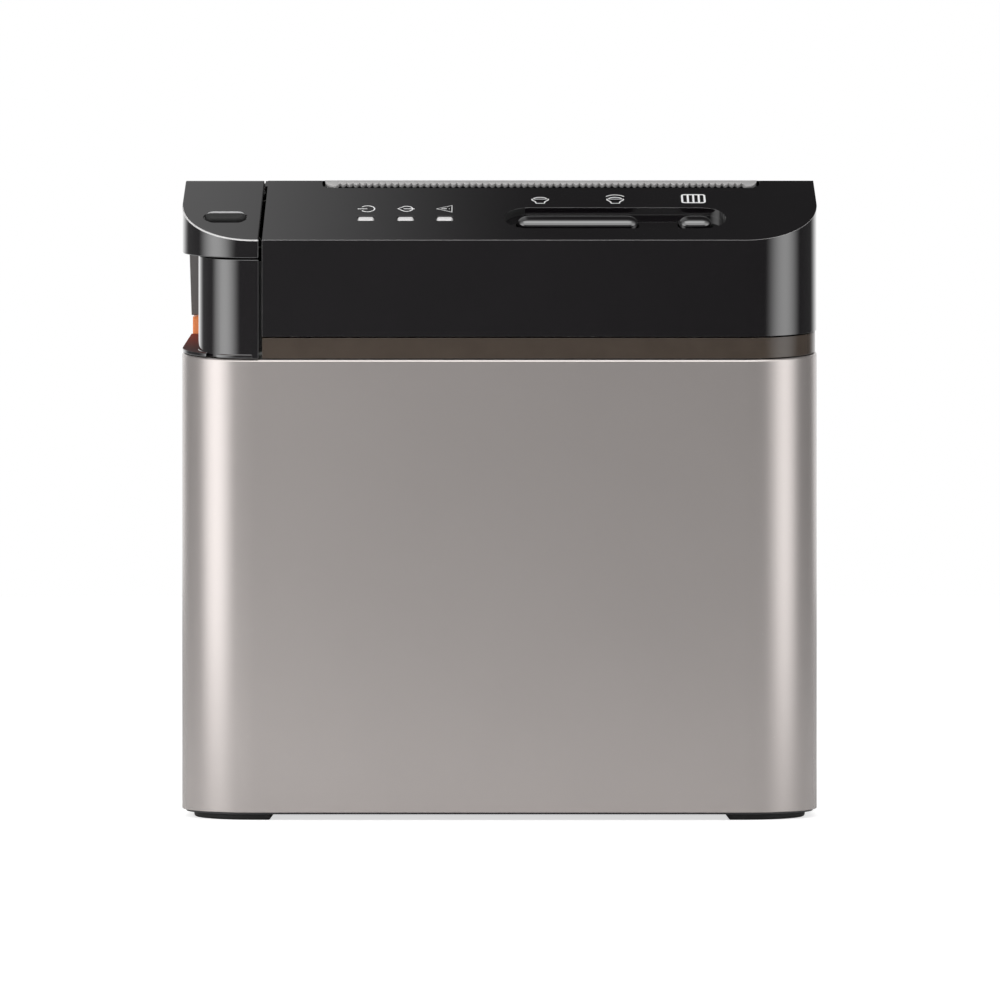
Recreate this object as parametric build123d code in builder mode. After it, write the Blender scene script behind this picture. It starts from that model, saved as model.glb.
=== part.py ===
from build123d import *

import os
from math import atan, cos, degrees, pi, radians, sin, sqrt, tan

# Desktop receipt printer: a metal lower body, a light band, a black front panel with
# keys, a release pad, and a paper cover hinged at the back that carries the platen.
# Frame: origin under the middle of the body on the table, +X right seen from the front,
# +Y to the back, +Z up. Lengths are millimetres and angles degrees.

# Outer body
body_width = 127.0
body_depth = 127.0
crest_height = 127.9
crest_setback = 24.8
corner_radius = 15.0
wall = 2.4
seam_gap = 0.3
narrow_gap = 0.2
fit_gap = 0.15
running_gap = 0.05
seam_slope = 8.0            # seams rise to the back
slope_rise = 13.5           # from the panel's front edge up to the crest
cover_drop = 32.5           # from the crest down to the front edge of the black covers
band_height = 4.1
shell_bottom = 1.6
roof_slope = 3.43           # the roof falls to the back
edge_slant = 26.3           # lean of the cover's side edges, from upright
skin_recess = 0.3           # the light band stands back from the shell

front_y = -body_depth / 2
back_y = body_depth / 2
left_x = -body_width / 2
right_x = body_width / 2
crest_y = front_y + crest_setback
panel_front_height = crest_height - slope_rise
cover_low = crest_height - cover_drop
band_high = cover_low - seam_gap
band_low = band_high - band_height
rim_height = band_low - narrow_gap

# Base and feet
base_low = 1.2
base_top = 4.2
base_lip_inset = 0.8
foot_height = 1.2
foot_inset = 2.4
foot_reach = 18.3           # from the body's sides inwards
foot_plug_inset = 14.5
foot_plug_radius = 2.5
foot_plug_length = 2.0
case_screw_inset = 9.0
boss_radius = 4.4
boss_top = 14.0
screw_radius = 1.4
screw_head_radius = 2.6
screw_head_height = 1.7
case_screw_tip = 12.0
case_screw_places = [(x * (right_x - case_screw_inset), y * (back_y - case_screw_inset))
                     for x in (-1, 1) for y in (-1, 1)]
foot_plug_places = [(x * (right_x - foot_plug_inset), y * (back_y - foot_plug_inset))
                    for x in (-1, 1) for y in (-1, 1)]

# Release pad, its column and the open notch on the left
gap_left = left_x + 16.0
gap_right = gap_left + 0.7
groove_end = 2.8            # the groove beside the pad narrows this far before the crest
pad_low = crest_height - 17.1
pad_end_radius = 3.0
pad_skin = 2.0
pad_pin_radius = 1.0
notch_width = 3.5
column_wall = 2.0
column_back = front_y + 43.5
column_left = left_x + notch_width
shelf_thickness = 0.7
ear_radius = 2.0
grip_length = 8.6
grip_width = 4.1
grip_x = left_x + 9.0
grip_along = 10.7
grip_recess = 0.6
grip_rise = 0.7
light_front = front_y + 41.5
light_back = front_y + 69.5

# Panel features, measured along the slope from its front edge
panel_skin = 2.4
pocket_x = (0.9, right_x - 18.45)
pocket_along = 10.3
pocket_width = 9.7
pocket_depth = 1.6
pocket_floor = 1.6
key_width = 4.6
rocker_x = (3.5, 27.6)
button_x = (right_x - 27.8, right_x - 21.25)
key_gap = 0.25
key_recess = 0.4
key_flange = 1.0
flange_margin = 0.8
key_travel = 0.8
window_x = (-26.6, -18.7, -10.9)
window_along = 10.1
window_width = 3.4
window_height = 2.2
lens_depth = 2.9
board_along = (7.0, 20.0)
board_x = (left_x + 25.5, right_x - 11.0)
board_drop = 6.4
board_thickness = 1.6
board_post_radius = 2.15
board_posts = ((board_x[0] + 3, 13.5), (board_x[1] - 3, 13.5), (-4.5, 17.5))
lamp_size = (2.2, 1.6)
switch_radius = 1.55
switch_spread = 8.0
rocker_ridge = 0.5          # the volume key rocks on a round rib of this radius
ridge_half = 2.0
rocker_play = 0.8

# Hinge of the cover
hinge_y = back_y - 13.5
hinge_z = crest_height - 9.8
barrel_radius = 4.5
barrel_clearance = 0.4
barrel_half = right_x - 11.5
hinge_pin_radius = 1.5
hinge_pin_inner = barrel_half - 6.0
hinge_pin_outer = right_x - 3.0
housing_front = hinge_y + 5.2
ear_fill = 2.4

# Tear bar and paper slot
tear_x = (left_x + 28.2, right_x - 11.5)
tear_teeth_x = (left_x + 31.3, right_x - 14.6)
tear_teeth = 62
tear_tab = 2.8
tear_tip = 2.25
tear_root = 1.2
tear_thickness = 0.7
slot_edge = 3.65
slot_side_gap = 0.5
slot_corner = 2.0
lip_depth = 2.4

# Platen and its holder
platen_y = crest_y + 6.3
platen_z = crest_height - 24.4
platen_radius = 6.5
roller_x = (left_x + 31.7, right_x - 15.1)
shaft_radius = 2.5
shaft_x = (left_x + 21.6, right_x - 8.1)
bush_radius = 3.5
arm_radius = 5.0
arm_left_x = (left_x + 25.5, left_x + 27.3)
arm_right_x = (right_x - 13.9, right_x - 12.3)
flange_thickness = 0.4
flange_radius = 4.3
beam_y = (crest_y + 1.2, crest_y + 3.7)
beam_low = crest_height - 16.3
holder_back = crest_y + 18.7
holder_low = crest_height - 5.7

# Gear train
gear_module = 0.6
gear_x = (left_x + 28.1, left_x + 31.1)
platen_teeth = 24
idler_teeth = 20
pinion_teeth = 10
tooth_top = 0.85            # of the module, outside the pitch circle
tooth_foot = 1.15           # of the module, inside it
tooth_foot_half = 0.29      # half a tooth's width at its foot, as a share of the pitch
tooth_pitch_half = 0.2
tooth_top_half = 0.1
idler_lean = 6.5            # the idler lies below the platen, this far behind upright
pinion_lean = 58.0          # the pinion lies below the idler, this far in front of it
idler_pin_radius = 1.5
motor_radius = 10.0
motor_length = 15.6
motor_shaft_radius = 1.0

# Frame of the mechanism
plate = 1.2
frame_left = left_x + 22.1
frame_right = right_x - 8.7
frame_y = (front_y + 6.5, crest_y + 14.7)
frame_low = crest_height - 51.9
frame_high = crest_height - 18.4
frame_rear_top = crest_height - 20.9
frame_step = (6.0, 3.5)     # the plate's top steps down this far before the beam
notch_forward = 1.7

# Print head
head_tilt = 12.0
head_gap = 0.1
head_x = (roller_x[0], roller_x[1] + 0.2)
head_up = 3.4
head_down = 8.0
ceramic_thickness = 1.0
heatsink_thickness = 3.5
spring_length = 8.6
spring_x = (roller_x[0] + 11.8, roller_x[1] - 11.4)
spring_radius = 2.6
spring_bore = 1.9
tab_width = 12.0

# Cutter
tray_x = (left_x + 30.3, right_x - 13.3)
tray_y = (frame_y[0], crest_y - 5.1)
tray_low = crest_height - 20.3
tray_top = crest_height - 18.8
tray_apron = 4.0
rail_height = 1.2
rail_width = 1.4
blade_x = (left_x + 31.9, right_x - 15.0)
blade_y = (front_y + 4.2, crest_y - 4.5)
blade_z = (crest_height - 18.7, crest_height - 17.9)
blade_vee = 1.2
fixed_blade_x = (left_x + 31.5, right_x - 13.9)
fixed_blade_y = (crest_y - 0.9, beam_y[1])
fixed_blade_z = (beam_low - 1.0, beam_low)
cutter_x = 16.0
cutter_y = crest_y - 10.6
cutter_module = 0.5
cutter_teeth = 14
cutter_travel = 4.5
cutter_margin = 0.8
cutter_motor_radius = 5.0
cutter_motor_length = 12.0
cutter_shaft_radius = 0.75

# Latch
latch_y = front_y + 9.0
latch_z = crest_height - 36.9
latch_radius = 2.0
latch_x = (left_x + 7.5, right_x - 6.5)
hook_left_x = (left_x + 23.7, left_x + 24.9)
hook_right_x = (right_x - 11.7, right_x - 10.5)
crank_x = (left_x + 9.0, left_x + 12.0)
crank_height = 16.0
hook_front = platen_y - 4.2
claw_depth = 3.0
claw_half = 4.0
latch_spring_x = (frame_right - plate - 9.0, frame_right - plate - 3.0)
latch_spring_wire = 1.2

# Paper bucket: a trough between upright walls
bucket_front = front_y + 36.0
bucket_rear = back_y - 8.0
bucket_low = 26.5
bucket_spring_line = crest_height - 59.9
bucket_wall = 2.0
bucket_x = (left_x + 30.6, right_x - 14.0)
bucket_front_top = frame_low + 2.0
bucket_rear_top = crest_height - 23.9
deck_thickness = 3.0
leg_length = 12.0
leg_width = 5.0
post_radius = 3.5
post_x = (left_x + 26.5, right_x - 19.5)
post_y = front_y + 10.5

bucket_y = (bucket_front + bucket_rear) / 2
bucket_outer_x = (bucket_x[0] - bucket_wall, bucket_x[1] + bucket_wall)
rear_leg_y = (bucket_rear - 11.0, bucket_rear - 11.0 + leg_width)

# Lever that feels the end of the roll
lever_pivot = (bucket_y + 18.0, bucket_low + 33.5)
lever_tip = (bucket_y - 4.0, bucket_low + 13.5)
lever_thickness = 1.4
lever_half = 3.0
lever_eye = 4.2
lever_swing = 8.0
nose_radius = 2.0
nose_reach = 0.7
nose_gap = 0.5

# Electronics
main_x = (left_x + 17.5, right_x - 17.5)
main_y = (back_y - 63.5, back_y - 13.5)
main_low = 8.0
main_thickness = 1.6
leg_gap = 1.0
main_hole_x = right_x - 21.5
main_hole_y = (main_y[0] + 4.0, main_y[1] - 9.0)
standoff_radius = 3.0
processor = ((-12.0, 4.0), (main_y[0] + 14.0, main_y[0] + 30.0), 1.6)
driver = ((12.0, 22.0), (main_y[0] + 12.0, main_y[0] + 22.0), 1.2)
capacitor_radius = 4.0
capacitor_height = 9.0
capacitors = ((main_x[0] + 8.0, main_y[0] + 18.0), (main_x[0] + 8.0, main_y[0] + 30.0),
              (main_x[1] - 8.0, main_y[0] + 16.0))
connector_y = (main_y[0] + 1.0, main_y[0] + 6.0)
connector_height = 2.0
cable_x = (-16.0, 20.0)
cable_y = front_y + 24.5
cable_top = crest_height - 34.5
cable_thickness = 0.3
cable_low = bucket_low - 0.5
cable_run = 15.5            # the flat stretch before the connector
cable_bend = 6.0
cable_margin = 2.0

# Sockets at the back
rear_x = (left_x + 16.5, right_x - 16.5)
rear_z = (7.0, 29.0)
rear_overlap = 1.5
rear_thickness = 1.6
socket_out = 0.3
socket_depth = 14.0
drawer_x = rear_x[1] - 11.0
power_x = rear_x[0] + 23.0
socket_pitch = (drawer_x - power_x) / 3
network_x = drawer_x - socket_pitch
usb_x = power_x + socket_pitch
jack_mouth_depth = 11.0
jack_floor = 2.0
network_mouth = (11.8, 8.6)
drawer_mouth = (10.0, 8.2)
usb_mouth = (8.6, 7.8)
usb_tongue = (5.6, 3.2)
small_mouth_depth = 9.0
contact_setback = 1.0
power_bore = 3.2
power_core = 1.25
switch_x = rear_x[0] + 5.0
switch_z = 17.5
switch_half = (4.5, 7.5)
switch_depth = 9.5
switch_opening = (4.0, 6.8)
switch_pivot_inset = 3.3
switch_sweep = 3.2
rocker_half = (3.7, 6.3)
rocker_thickness = 3.0
rocker_tilt = 7.0
rocker_edge = 0.5
switch_stub_radius = 0.8
switch_stub_half = 4.25

# Speaker under the base grille
speaker_y = front_y + 25.5
speaker_radius = 18.0
speaker_height = 6.0
speaker_rim = 3.0
speaker_dish = 2.0
magnet_radius = 10.0
grille_slots = 5
grille_pitch = 5.0
grille_slot = (22.0, 2.0)

slope_angle = degrees(atan(slope_rise / crest_setback))
slope_length = crest_setback / cos(radians(slope_angle))
slope_normal = (0, -sin(radians(slope_angle)), cos(radians(slope_angle)))
slope_plane = Plane(origin=(0, front_y, panel_front_height), x_dir=(1, 0, 0), z_dir=slope_normal)
roof_normal = (0, sin(radians(roof_slope)), cos(radians(roof_slope)))
roof_plane = Plane(origin=(0, crest_y, crest_height), x_dir=(1, 0, 0), z_dir=roof_normal)

pad_bend = pad_end_radius * tan(radians(slope_angle / 2))
pad_pin_y = crest_y + pad_bend
pad_pin_z = crest_height - pad_end_radius
pad_back = pad_pin_y + pad_end_radius
bend_y = crest_y - pad_bend * cos(radians(slope_angle))
bend_z = crest_height - pad_bend * sin(radians(slope_angle))
key_bottom = pocket_depth + pocket_floor + key_flange + flange_margin / 2
rocker_middle = (rocker_x[0] + rocker_x[1]) / 2
button_middle = (button_x[0] + button_x[1]) / 2

gear_radius = gear_module * platen_teeth / 2
idler_radius = gear_module * idler_teeth / 2
pinion_radius = gear_module * pinion_teeth / 2
idler_y = platen_y + (gear_radius + idler_radius) * sin(radians(idler_lean))
idler_z = platen_z - (gear_radius + idler_radius) * cos(radians(idler_lean))
pinion_y = idler_y - (idler_radius + pinion_radius) * sin(radians(pinion_lean))
pinion_z = idler_z - (idler_radius + pinion_radius) * cos(radians(pinion_lean))

head_reach = platen_radius + head_gap
nip_y = platen_y - head_reach * cos(radians(head_tilt))
nip_z = platen_z - head_reach * sin(radians(head_tilt))
head_normal = (0, -cos(radians(head_tilt)), -sin(radians(head_tilt)))
head_plane = Plane(origin=(0, nip_y, nip_z), x_dir=(1, 0, 0), z_dir=head_normal)
spring_end = ceramic_thickness + heatsink_thickness + spring_length
tab_down = (nip_z - spring_end * sin(radians(head_tilt)) - frame_low - plate / 2) / cos(radians(head_tilt))

# The platen gear's tips swing this far from the hinge as the cover opens
platen_swing = sqrt((platen_y - hinge_y) ** 2 + (platen_z - hinge_z) ** 2)
gear_reach = platen_swing + gear_radius + tooth_top * gear_module
cutter_pitch_radius = cutter_module * cutter_teeth / 2
rack_line = cutter_x + cutter_pitch_radius
rack_pitch = pi * cutter_module

hinge = (hinge_y, hinge_z)
platen = (platen_y, platen_z)
latch = (latch_y, latch_z)


def seam_plane(front_height):
    """Plane that rises to the back, given by its height at the front face."""
    normal = (0, -sin(radians(seam_slope)), cos(radians(seam_slope)))
    return Plane(origin=(0, front_y, front_height), x_dir=(1, 0, 0), z_dir=normal)


def seam_z(front_height, y):
    """Height of a seam plane at the depth y."""
    return front_height + (y - front_y) * tan(radians(seam_slope))


def edge_plane(crest_edge_y):
    """Leaning plane between a fixed cover and the hinged one, given by its Y at the crest."""
    normal = (0, cos(radians(edge_slant)), sin(radians(edge_slant)))
    return Plane(origin=(0, crest_edge_y, crest_height), x_dir=(1, 0, 0), z_dir=normal)


def outline_prism(inset, low, high, mode=Mode.ADD):
    """Body outline drawn in by inset, upright between two heights."""
    with BuildSketch(Plane.XY.offset(low)) as outline:
        RectangleRounded(body_width - 2 * inset, body_depth - 2 * inset, corner_radius - inset)
    extrude(outline.sketch, amount=high - low, mode=mode)


def outline_slab(inset, low, high):
    """Body outline between two sloped seam planes, given by their front heights."""
    with BuildPart() as slab:
        outline_prism(inset, shell_bottom, crest_height)
        split(bisect_by=seam_plane(low), keep=Keep.TOP)
        split(bisect_by=seam_plane(high), keep=Keep.BOTTOM)
    return slab.part


def block(x_span, y_span, z_span, mode=Mode.ADD):
    """Box between two limits on each axis."""
    spans = (x_span, y_span, z_span)
    middle = [(span[0] + span[1]) / 2 for span in spans]
    with Locations(tuple(middle)):
        Box(*[span[1] - span[0] for span in spans], mode=mode)


def rod(radius, start, end, mode=Mode.ADD):
    """Round bar between two points."""
    run = Vector(*end) - Vector(*start)
    with BuildSketch(Plane(origin=start, z_dir=run)) as section:
        Circle(radius)
    extrude(section.sketch, amount=run.length, mode=mode)


def cross_rod(radius, x_span, centre, mode=Mode.ADD):
    """Round bar along X, with its centre given as (Y, Z)."""
    rod(radius, (x_span[0], *centre), (x_span[1], *centre), mode)


def side_shape(points, x_span, mode=Mode.ADD):
    """Outline of (Y, Z) points, solid between two X limits."""
    with BuildSketch(Plane.YZ.offset(x_span[0])) as outline:
        with BuildLine():
            Polyline(*points, close=True)
        make_face()
    extrude(outline.sketch, amount=x_span[1] - x_span[0], mode=mode)


def slope_block(x_span, along_span, depth_span, mode=Mode.ADD):
    """Box set square to the slope: across, along, and as depths below its surface."""
    with BuildSketch(slope_plane.offset(-depth_span[1])) as outline:
        with Locations(((x_span[0] + x_span[1]) / 2, (along_span[0] + along_span[1]) / 2)):
            Rectangle(x_span[1] - x_span[0], along_span[1] - along_span[0])
    extrude(outline.sketch, amount=depth_span[1] - depth_span[0], mode=mode)


def slope_slot(x_span, along, width, depth_span, mode=Mode.ADD):
    """Round-ended bar set square to the slope."""
    with BuildSketch(slope_plane.offset(-depth_span[1])) as outline:
        with Locations(((x_span[0] + x_span[1]) / 2, along)):
            SlotOverall(x_span[1] - x_span[0], width)
    extrude(outline.sketch, amount=depth_span[1] - depth_span[0], mode=mode)


def slope_point(x, along, depth):
    """Point below the slope's surface."""
    return tuple(slope_plane.offset(-depth).from_local_coords((x, along, 0)))


def slope_post(radius, place, depth_span):
    """Round post set square to the slope."""
    with BuildSketch(slope_plane.offset(-depth_span[1])) as outline:
        with Locations(place):
            Circle(radius)
    extrude(outline.sketch, amount=depth_span[1] - depth_span[0])


def head_block(x_span, up_span, offset_span, mode=Mode.ADD):
    """Box set square to the print head's face."""
    with BuildSketch(head_plane.offset(offset_span[0])) as outline:
        with Locations(((x_span[0] + x_span[1]) / 2, (up_span[0] + up_span[1]) / 2)):
            Rectangle(x_span[1] - x_span[0], up_span[1] - up_span[0])
    extrude(outline.sketch, amount=offset_span[1] - offset_span[0], mode=mode)


def tooth_outline(teeth, module, turn):
    """Corner points of a gear, with one tooth's middle at the angle turn."""
    pitch_angle = 360 / teeth
    radius = module * teeth / 2
    foot = radius - tooth_foot * module
    top = radius + tooth_top * module
    corners = ((foot, -tooth_foot_half), (radius, -tooth_pitch_half), (top, -tooth_top_half),
               (top, tooth_top_half), (radius, tooth_pitch_half), (foot, tooth_foot_half))
    points = []
    for tooth in range(teeth):
        for distance, share in corners:
            angle = radians(turn + (tooth + share) * pitch_angle)
            points.append((distance * cos(angle), distance * sin(angle)))
    return points


def spur_gear(teeth, module, turn, base, thickness, bore):
    """Straight-toothed gear standing on a plane, with a bore."""
    with BuildSketch(base) as outline:
        with BuildLine():
            Polyline(*tooth_outline(teeth, module, turn), close=True)
        make_face()
        Circle(bore, mode=Mode.SUBTRACT)
    extrude(outline.sketch, amount=thickness)


def yz_plane(x, centre):
    """Plane across X at a (Y, Z) point, with Y to its right."""
    return Plane(origin=(x, *centre), x_dir=(0, 1, 0), z_dir=(1, 0, 0))


def on_slope(piece):
    """Upper face of a part that is parallel to the slope."""
    return piece.faces().filter_by(Plane.XY.rotated((slope_angle, 0, 0))).sort_by(Axis.Z)[-1]


def finish(piece, label):
    """Label a finished piece and write it to its own file."""
    piece.part.label = label
    os.makedirs("parts", exist_ok=True)
    export_step(piece.part, f"parts/{label}.step")


# Lower body

with BuildPart() as lower_shell:
    outline_prism(0, shell_bottom, crest_height)
    split(bisect_by=seam_plane(rim_height), keep=Keep.BOTTOM)
    rim_edges = lower_shell.faces().sort_by(Axis.Z)[-1].edges()
    chamfer(rim_edges, skin_recess)
    outline_prism(wall, shell_bottom, crest_height, Mode.SUBTRACT)
    with Locations(*[(*place, (base_top + boss_top) / 2) for place in case_screw_places]):
        Cylinder(boss_radius, boss_top - base_top)
        Cylinder(screw_radius, boss_top - base_top, mode=Mode.SUBTRACT)
    block(rear_x, (back_y - 2 * wall, back_y + wall), rear_z, Mode.SUBTRACT)
finish(lower_shell, "lower_shell")

with BuildPart() as base_plate:
    outline_prism(base_lip_inset, base_low, shell_bottom)
    outline_prism(wall + fit_gap, shell_bottom, base_top)
    for side in (-1, 1):
        for end in main_hole_y:
            place = (side * main_hole_x, end)
            rod(standoff_radius, (*place, base_top - 1), (*place, main_low))
            rod(screw_radius, (*place, base_top), (*place, main_low), Mode.SUBTRACT)
    for place in case_screw_places:
        rod(screw_radius + fit_gap, (*place, base_low), (*place, base_top), Mode.SUBTRACT)
        rod(screw_head_radius + fit_gap, (*place, base_low),
            (*place, base_low + screw_head_height), Mode.SUBTRACT)
    for place in foot_plug_places:
        rod(foot_plug_radius, (*place, base_low), (*place, base_low + foot_plug_length), Mode.SUBTRACT)
    with BuildSketch(Plane.XY.offset(base_low)) as grille:
        with Locations((0, speaker_y)):
            with GridLocations(grille_pitch, 0, grille_slots, 1):
                SlotOverall(*grille_slot, rotation=90)
    extrude(amount=base_top - base_low, mode=Mode.SUBTRACT)
finish(base_plate, "base_plate")

for name, plug in zip(("foot_front_left", "foot_rear_left", "foot_front_right", "foot_rear_right"),
                      foot_plug_places):
    with BuildPart() as foot:
        outline_prism(foot_inset, 0, foot_height)
        x = 1 if plug[0] > 0 else -1
        y = 1 if plug[1] > 0 else -1
        block(sorted((x * (right_x - foot_reach), x * body_width)),
              sorted((y * (back_y - foot_reach), y * body_depth)), (0, foot_height), Mode.INTERSECT)
        chamfer(foot.faces().sort_by(Axis.Z)[0].edges(), foot_height / 4)
        rod(foot_plug_radius, (*plug, foot_height), (*plug, base_low + foot_plug_length))
    finish(foot, name)

with BuildPart() as case_screws:
    with Locations(*[(*place, base_low) for place in case_screw_places]):
        Cylinder(screw_head_radius, screw_head_height, align=(Align.CENTER, Align.CENTER, Align.MIN))
        Cylinder(screw_radius, case_screw_tip - base_low, align=(Align.CENTER, Align.CENTER, Align.MIN))
finish(case_screws, "case_screws")

with BuildPart() as light_band:
    add(outline_slab(skin_recess, band_low, band_high))
    add(outline_slab(wall, band_low - wall, band_high + wall), mode=Mode.SUBTRACT)
    block((left_x - wall, gap_right), (front_y - wall, light_back + seam_gap),
          (shell_bottom, crest_height), Mode.SUBTRACT)
finish(light_band, "light_band")

with BuildPart() as side_light:
    block((left_x + skin_recess, column_left), (light_front, light_back), (rim_height, crest_height))
    split(bisect_by=seam_plane(band_low), keep=Keep.TOP)
    split(bisect_by=seam_plane(band_high), keep=Keep.BOTTOM)
    chamfer(side_light.faces().sort_by(Axis.Y)[0].edges(), skin_recess)
finish(side_light, "side_light")

# Front panel with its keys and lights


def panel_cavity():
    """Hollow behind the panel's front, right and left walls and under its slope."""
    with BuildPart() as cavity:
        outline_prism(panel_skin, rim_height, crest_height)
        block((gap_right + panel_skin, right_x), (front_y, back_y), (rim_height, crest_height),
              Mode.INTERSECT)
        split(bisect_by=slope_plane.offset(-panel_skin), keep=Keep.BOTTOM)
    return cavity.part


with BuildPart() as front_panel:
    outline_prism(0, rim_height, crest_height + panel_skin)
    block((gap_right, right_x), (front_y, crest_y + crest_setback), (rim_height, crest_height),
          Mode.INTERSECT)
    split(bisect_by=seam_plane(cover_low), keep=Keep.TOP)
    split(bisect_by=slope_plane, keep=Keep.BOTTOM)
    split(bisect_by=edge_plane(crest_y - seam_gap / 2), keep=Keep.BOTTOM)
    add(panel_cavity(), mode=Mode.SUBTRACT)
    slope_block((gap_left + narrow_gap, gap_right), (slope_length - groove_end, slope_length - seam_gap),
                (0, panel_skin))
    cross_rod(pad_end_radius - seam_gap, (gap_right, gap_right + panel_skin), (pad_pin_y, pad_pin_z))
    slope_block((gap_right, gap_right + panel_skin), (slope_length - groove_end, slope_length),
                (panel_skin - seam_gap, 2 * panel_skin))
    cross_rod(pad_pin_radius, (gap_left, gap_right + panel_skin), (pad_pin_y, pad_pin_z), Mode.SUBTRACT)
    slope_block((pocket_x[0] - pocket_floor, pocket_x[1] + pocket_floor),
                (pocket_along - pocket_width / 2 - pocket_floor,
                 pocket_along + pocket_width / 2 + pocket_floor),
                (panel_skin - seam_gap, pocket_depth + pocket_floor))
    for post in board_posts:
        slope_post(board_post_radius, post, (panel_skin - seam_gap, board_drop))
    slope_slot(pocket_x, pocket_along, pocket_width, (-1, pocket_depth), Mode.SUBTRACT)
    for span in (rocker_x, button_x):
        slope_slot((span[0] - key_gap, span[1] + key_gap), pocket_along, key_width + 2 * key_gap,
                   (0, pocket_depth + 2 * pocket_floor), Mode.SUBTRACT)
    for x in window_x:
        slope_block((x - window_width / 2, x + window_width / 2),
                    (window_along - window_height / 2, window_along + window_height / 2),
                    (-1, 2 * panel_skin), Mode.SUBTRACT)
    with BuildSketch(slope_plane.offset(1)) as paper_slot:
        with Locations(((tear_x[0] + tear_x[1]) / 2, slope_length)):
            RectangleRounded(tear_x[1] - tear_x[0] + 2 * slot_side_gap, 2 * slot_edge, slot_corner)
    extrude(amount=-2 * lip_depth, mode=Mode.SUBTRACT)
    cross_rod(gear_reach + seam_gap, (gear_x[0] - seam_gap, gear_x[1] + seam_gap), hinge, Mode.SUBTRACT)
finish(front_panel, "front_panel")

with BuildPart() as panel_board:
    slope_block(board_x, board_along, (board_drop, board_drop + board_thickness))
    for x in window_x:
        slope_block((x - lamp_size[0] / 2, x + lamp_size[0] / 2),
                    (window_along - lamp_size[1] / 2, window_along + lamp_size[1] / 2),
                    (lens_depth + seam_gap, board_drop))
    slope_block((rocker_middle - rocker_ridge, rocker_middle + rocker_ridge),
                (pocket_along - ridge_half, pocket_along + ridge_half),
                (key_bottom + rocker_ridge + running_gap, board_drop))
    for x in (rocker_middle - switch_spread, rocker_middle + switch_spread):
        slope_post(switch_radius, (x, pocket_along), (key_bottom + rocker_play, board_drop))
    slope_post(switch_radius, (button_middle, pocket_along),
               (key_bottom + key_travel + running_gap, board_drop))
finish(panel_board, "panel_board")

for name, x in zip(("power_light", "paper_light", "error_light"), window_x):
    with BuildPart() as lens:
        slope_block((x - window_width / 2 + running_gap, x + window_width / 2 - running_gap),
                    (window_along - window_height / 2 + running_gap,
                     window_along + window_height / 2 - running_gap), (0, lens_depth))
    finish(lens, name)

for name, span in (("volume_rocker", rocker_x), ("list_button", button_x)):
    with BuildPart() as key:
        slope_slot(span, pocket_along, key_width, (key_recess, key_bottom))
        fillet(on_slope(key).edges(), key_recess)
        slope_slot((span[0] - flange_margin, span[1] + flange_margin), pocket_along,
                   key_width + 2 * flange_margin, (key_bottom - key_flange, key_bottom))
        if name == "volume_rocker":
            rod(rocker_ridge, slope_point(rocker_middle, pocket_along - ridge_half, key_bottom),
                slope_point(rocker_middle, pocket_along + ridge_half, key_bottom))
    finish(key, name)

# Release column and pad


def shelf_strip():
    """Thin shelf under the notch, round the column's foot."""
    with BuildPart() as strip:
        add(outline_slab(0, band_low, band_low + shelf_thickness))
        block((left_x, gap_left), (front_y, light_front - seam_gap), (rim_height, crest_height),
              Mode.INTERSECT)
        block((column_left + column_wall, gap_left), (front_y + column_wall, light_front),
              (rim_height, crest_height), Mode.SUBTRACT)
    return strip.part


def pad_hollow():
    """Space inside the pad, open below."""
    with BuildPart() as hollow:
        outline_prism(pad_skin, rim_height, crest_height)
        block((left_x, gap_left - pad_skin), (front_y, crest_y - groove_end), (rim_height, crest_height),
              Mode.INTERSECT)
        split(bisect_by=slope_plane.offset(-pad_skin), keep=Keep.BOTTOM)
    return hollow.part


with BuildPart() as release_column:
    with BuildSketch(Plane.XY.offset(rim_height)) as column_outline:
        RectangleRounded(body_width - 2 * notch_width, body_depth, corner_radius - notch_width)
        offset(amount=-column_wall, mode=Mode.SUBTRACT)
    extrude(amount=crest_height - rim_height)
    block((column_left, gap_left), (front_y, column_back), (rim_height, crest_height), Mode.INTERSECT)
    split(bisect_by=seam_plane(band_low), keep=Keep.TOP)
    split(bisect_by=seam_plane(pad_low - seam_gap), keep=Keep.BOTTOM)
    column_x = (column_left, column_left + column_wall)
    block(column_x, (pad_pin_y - ear_radius, pad_pin_y + ear_radius),
          (seam_z(pad_low - 2 * wall, pad_pin_y), pad_pin_z))
    cross_rod(ear_radius, column_x, (pad_pin_y, pad_pin_z))
    cross_rod(pad_pin_radius, column_x, (pad_pin_y, pad_pin_z), Mode.SUBTRACT)
    add(shelf_strip())
finish(release_column, "release_column")

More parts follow.
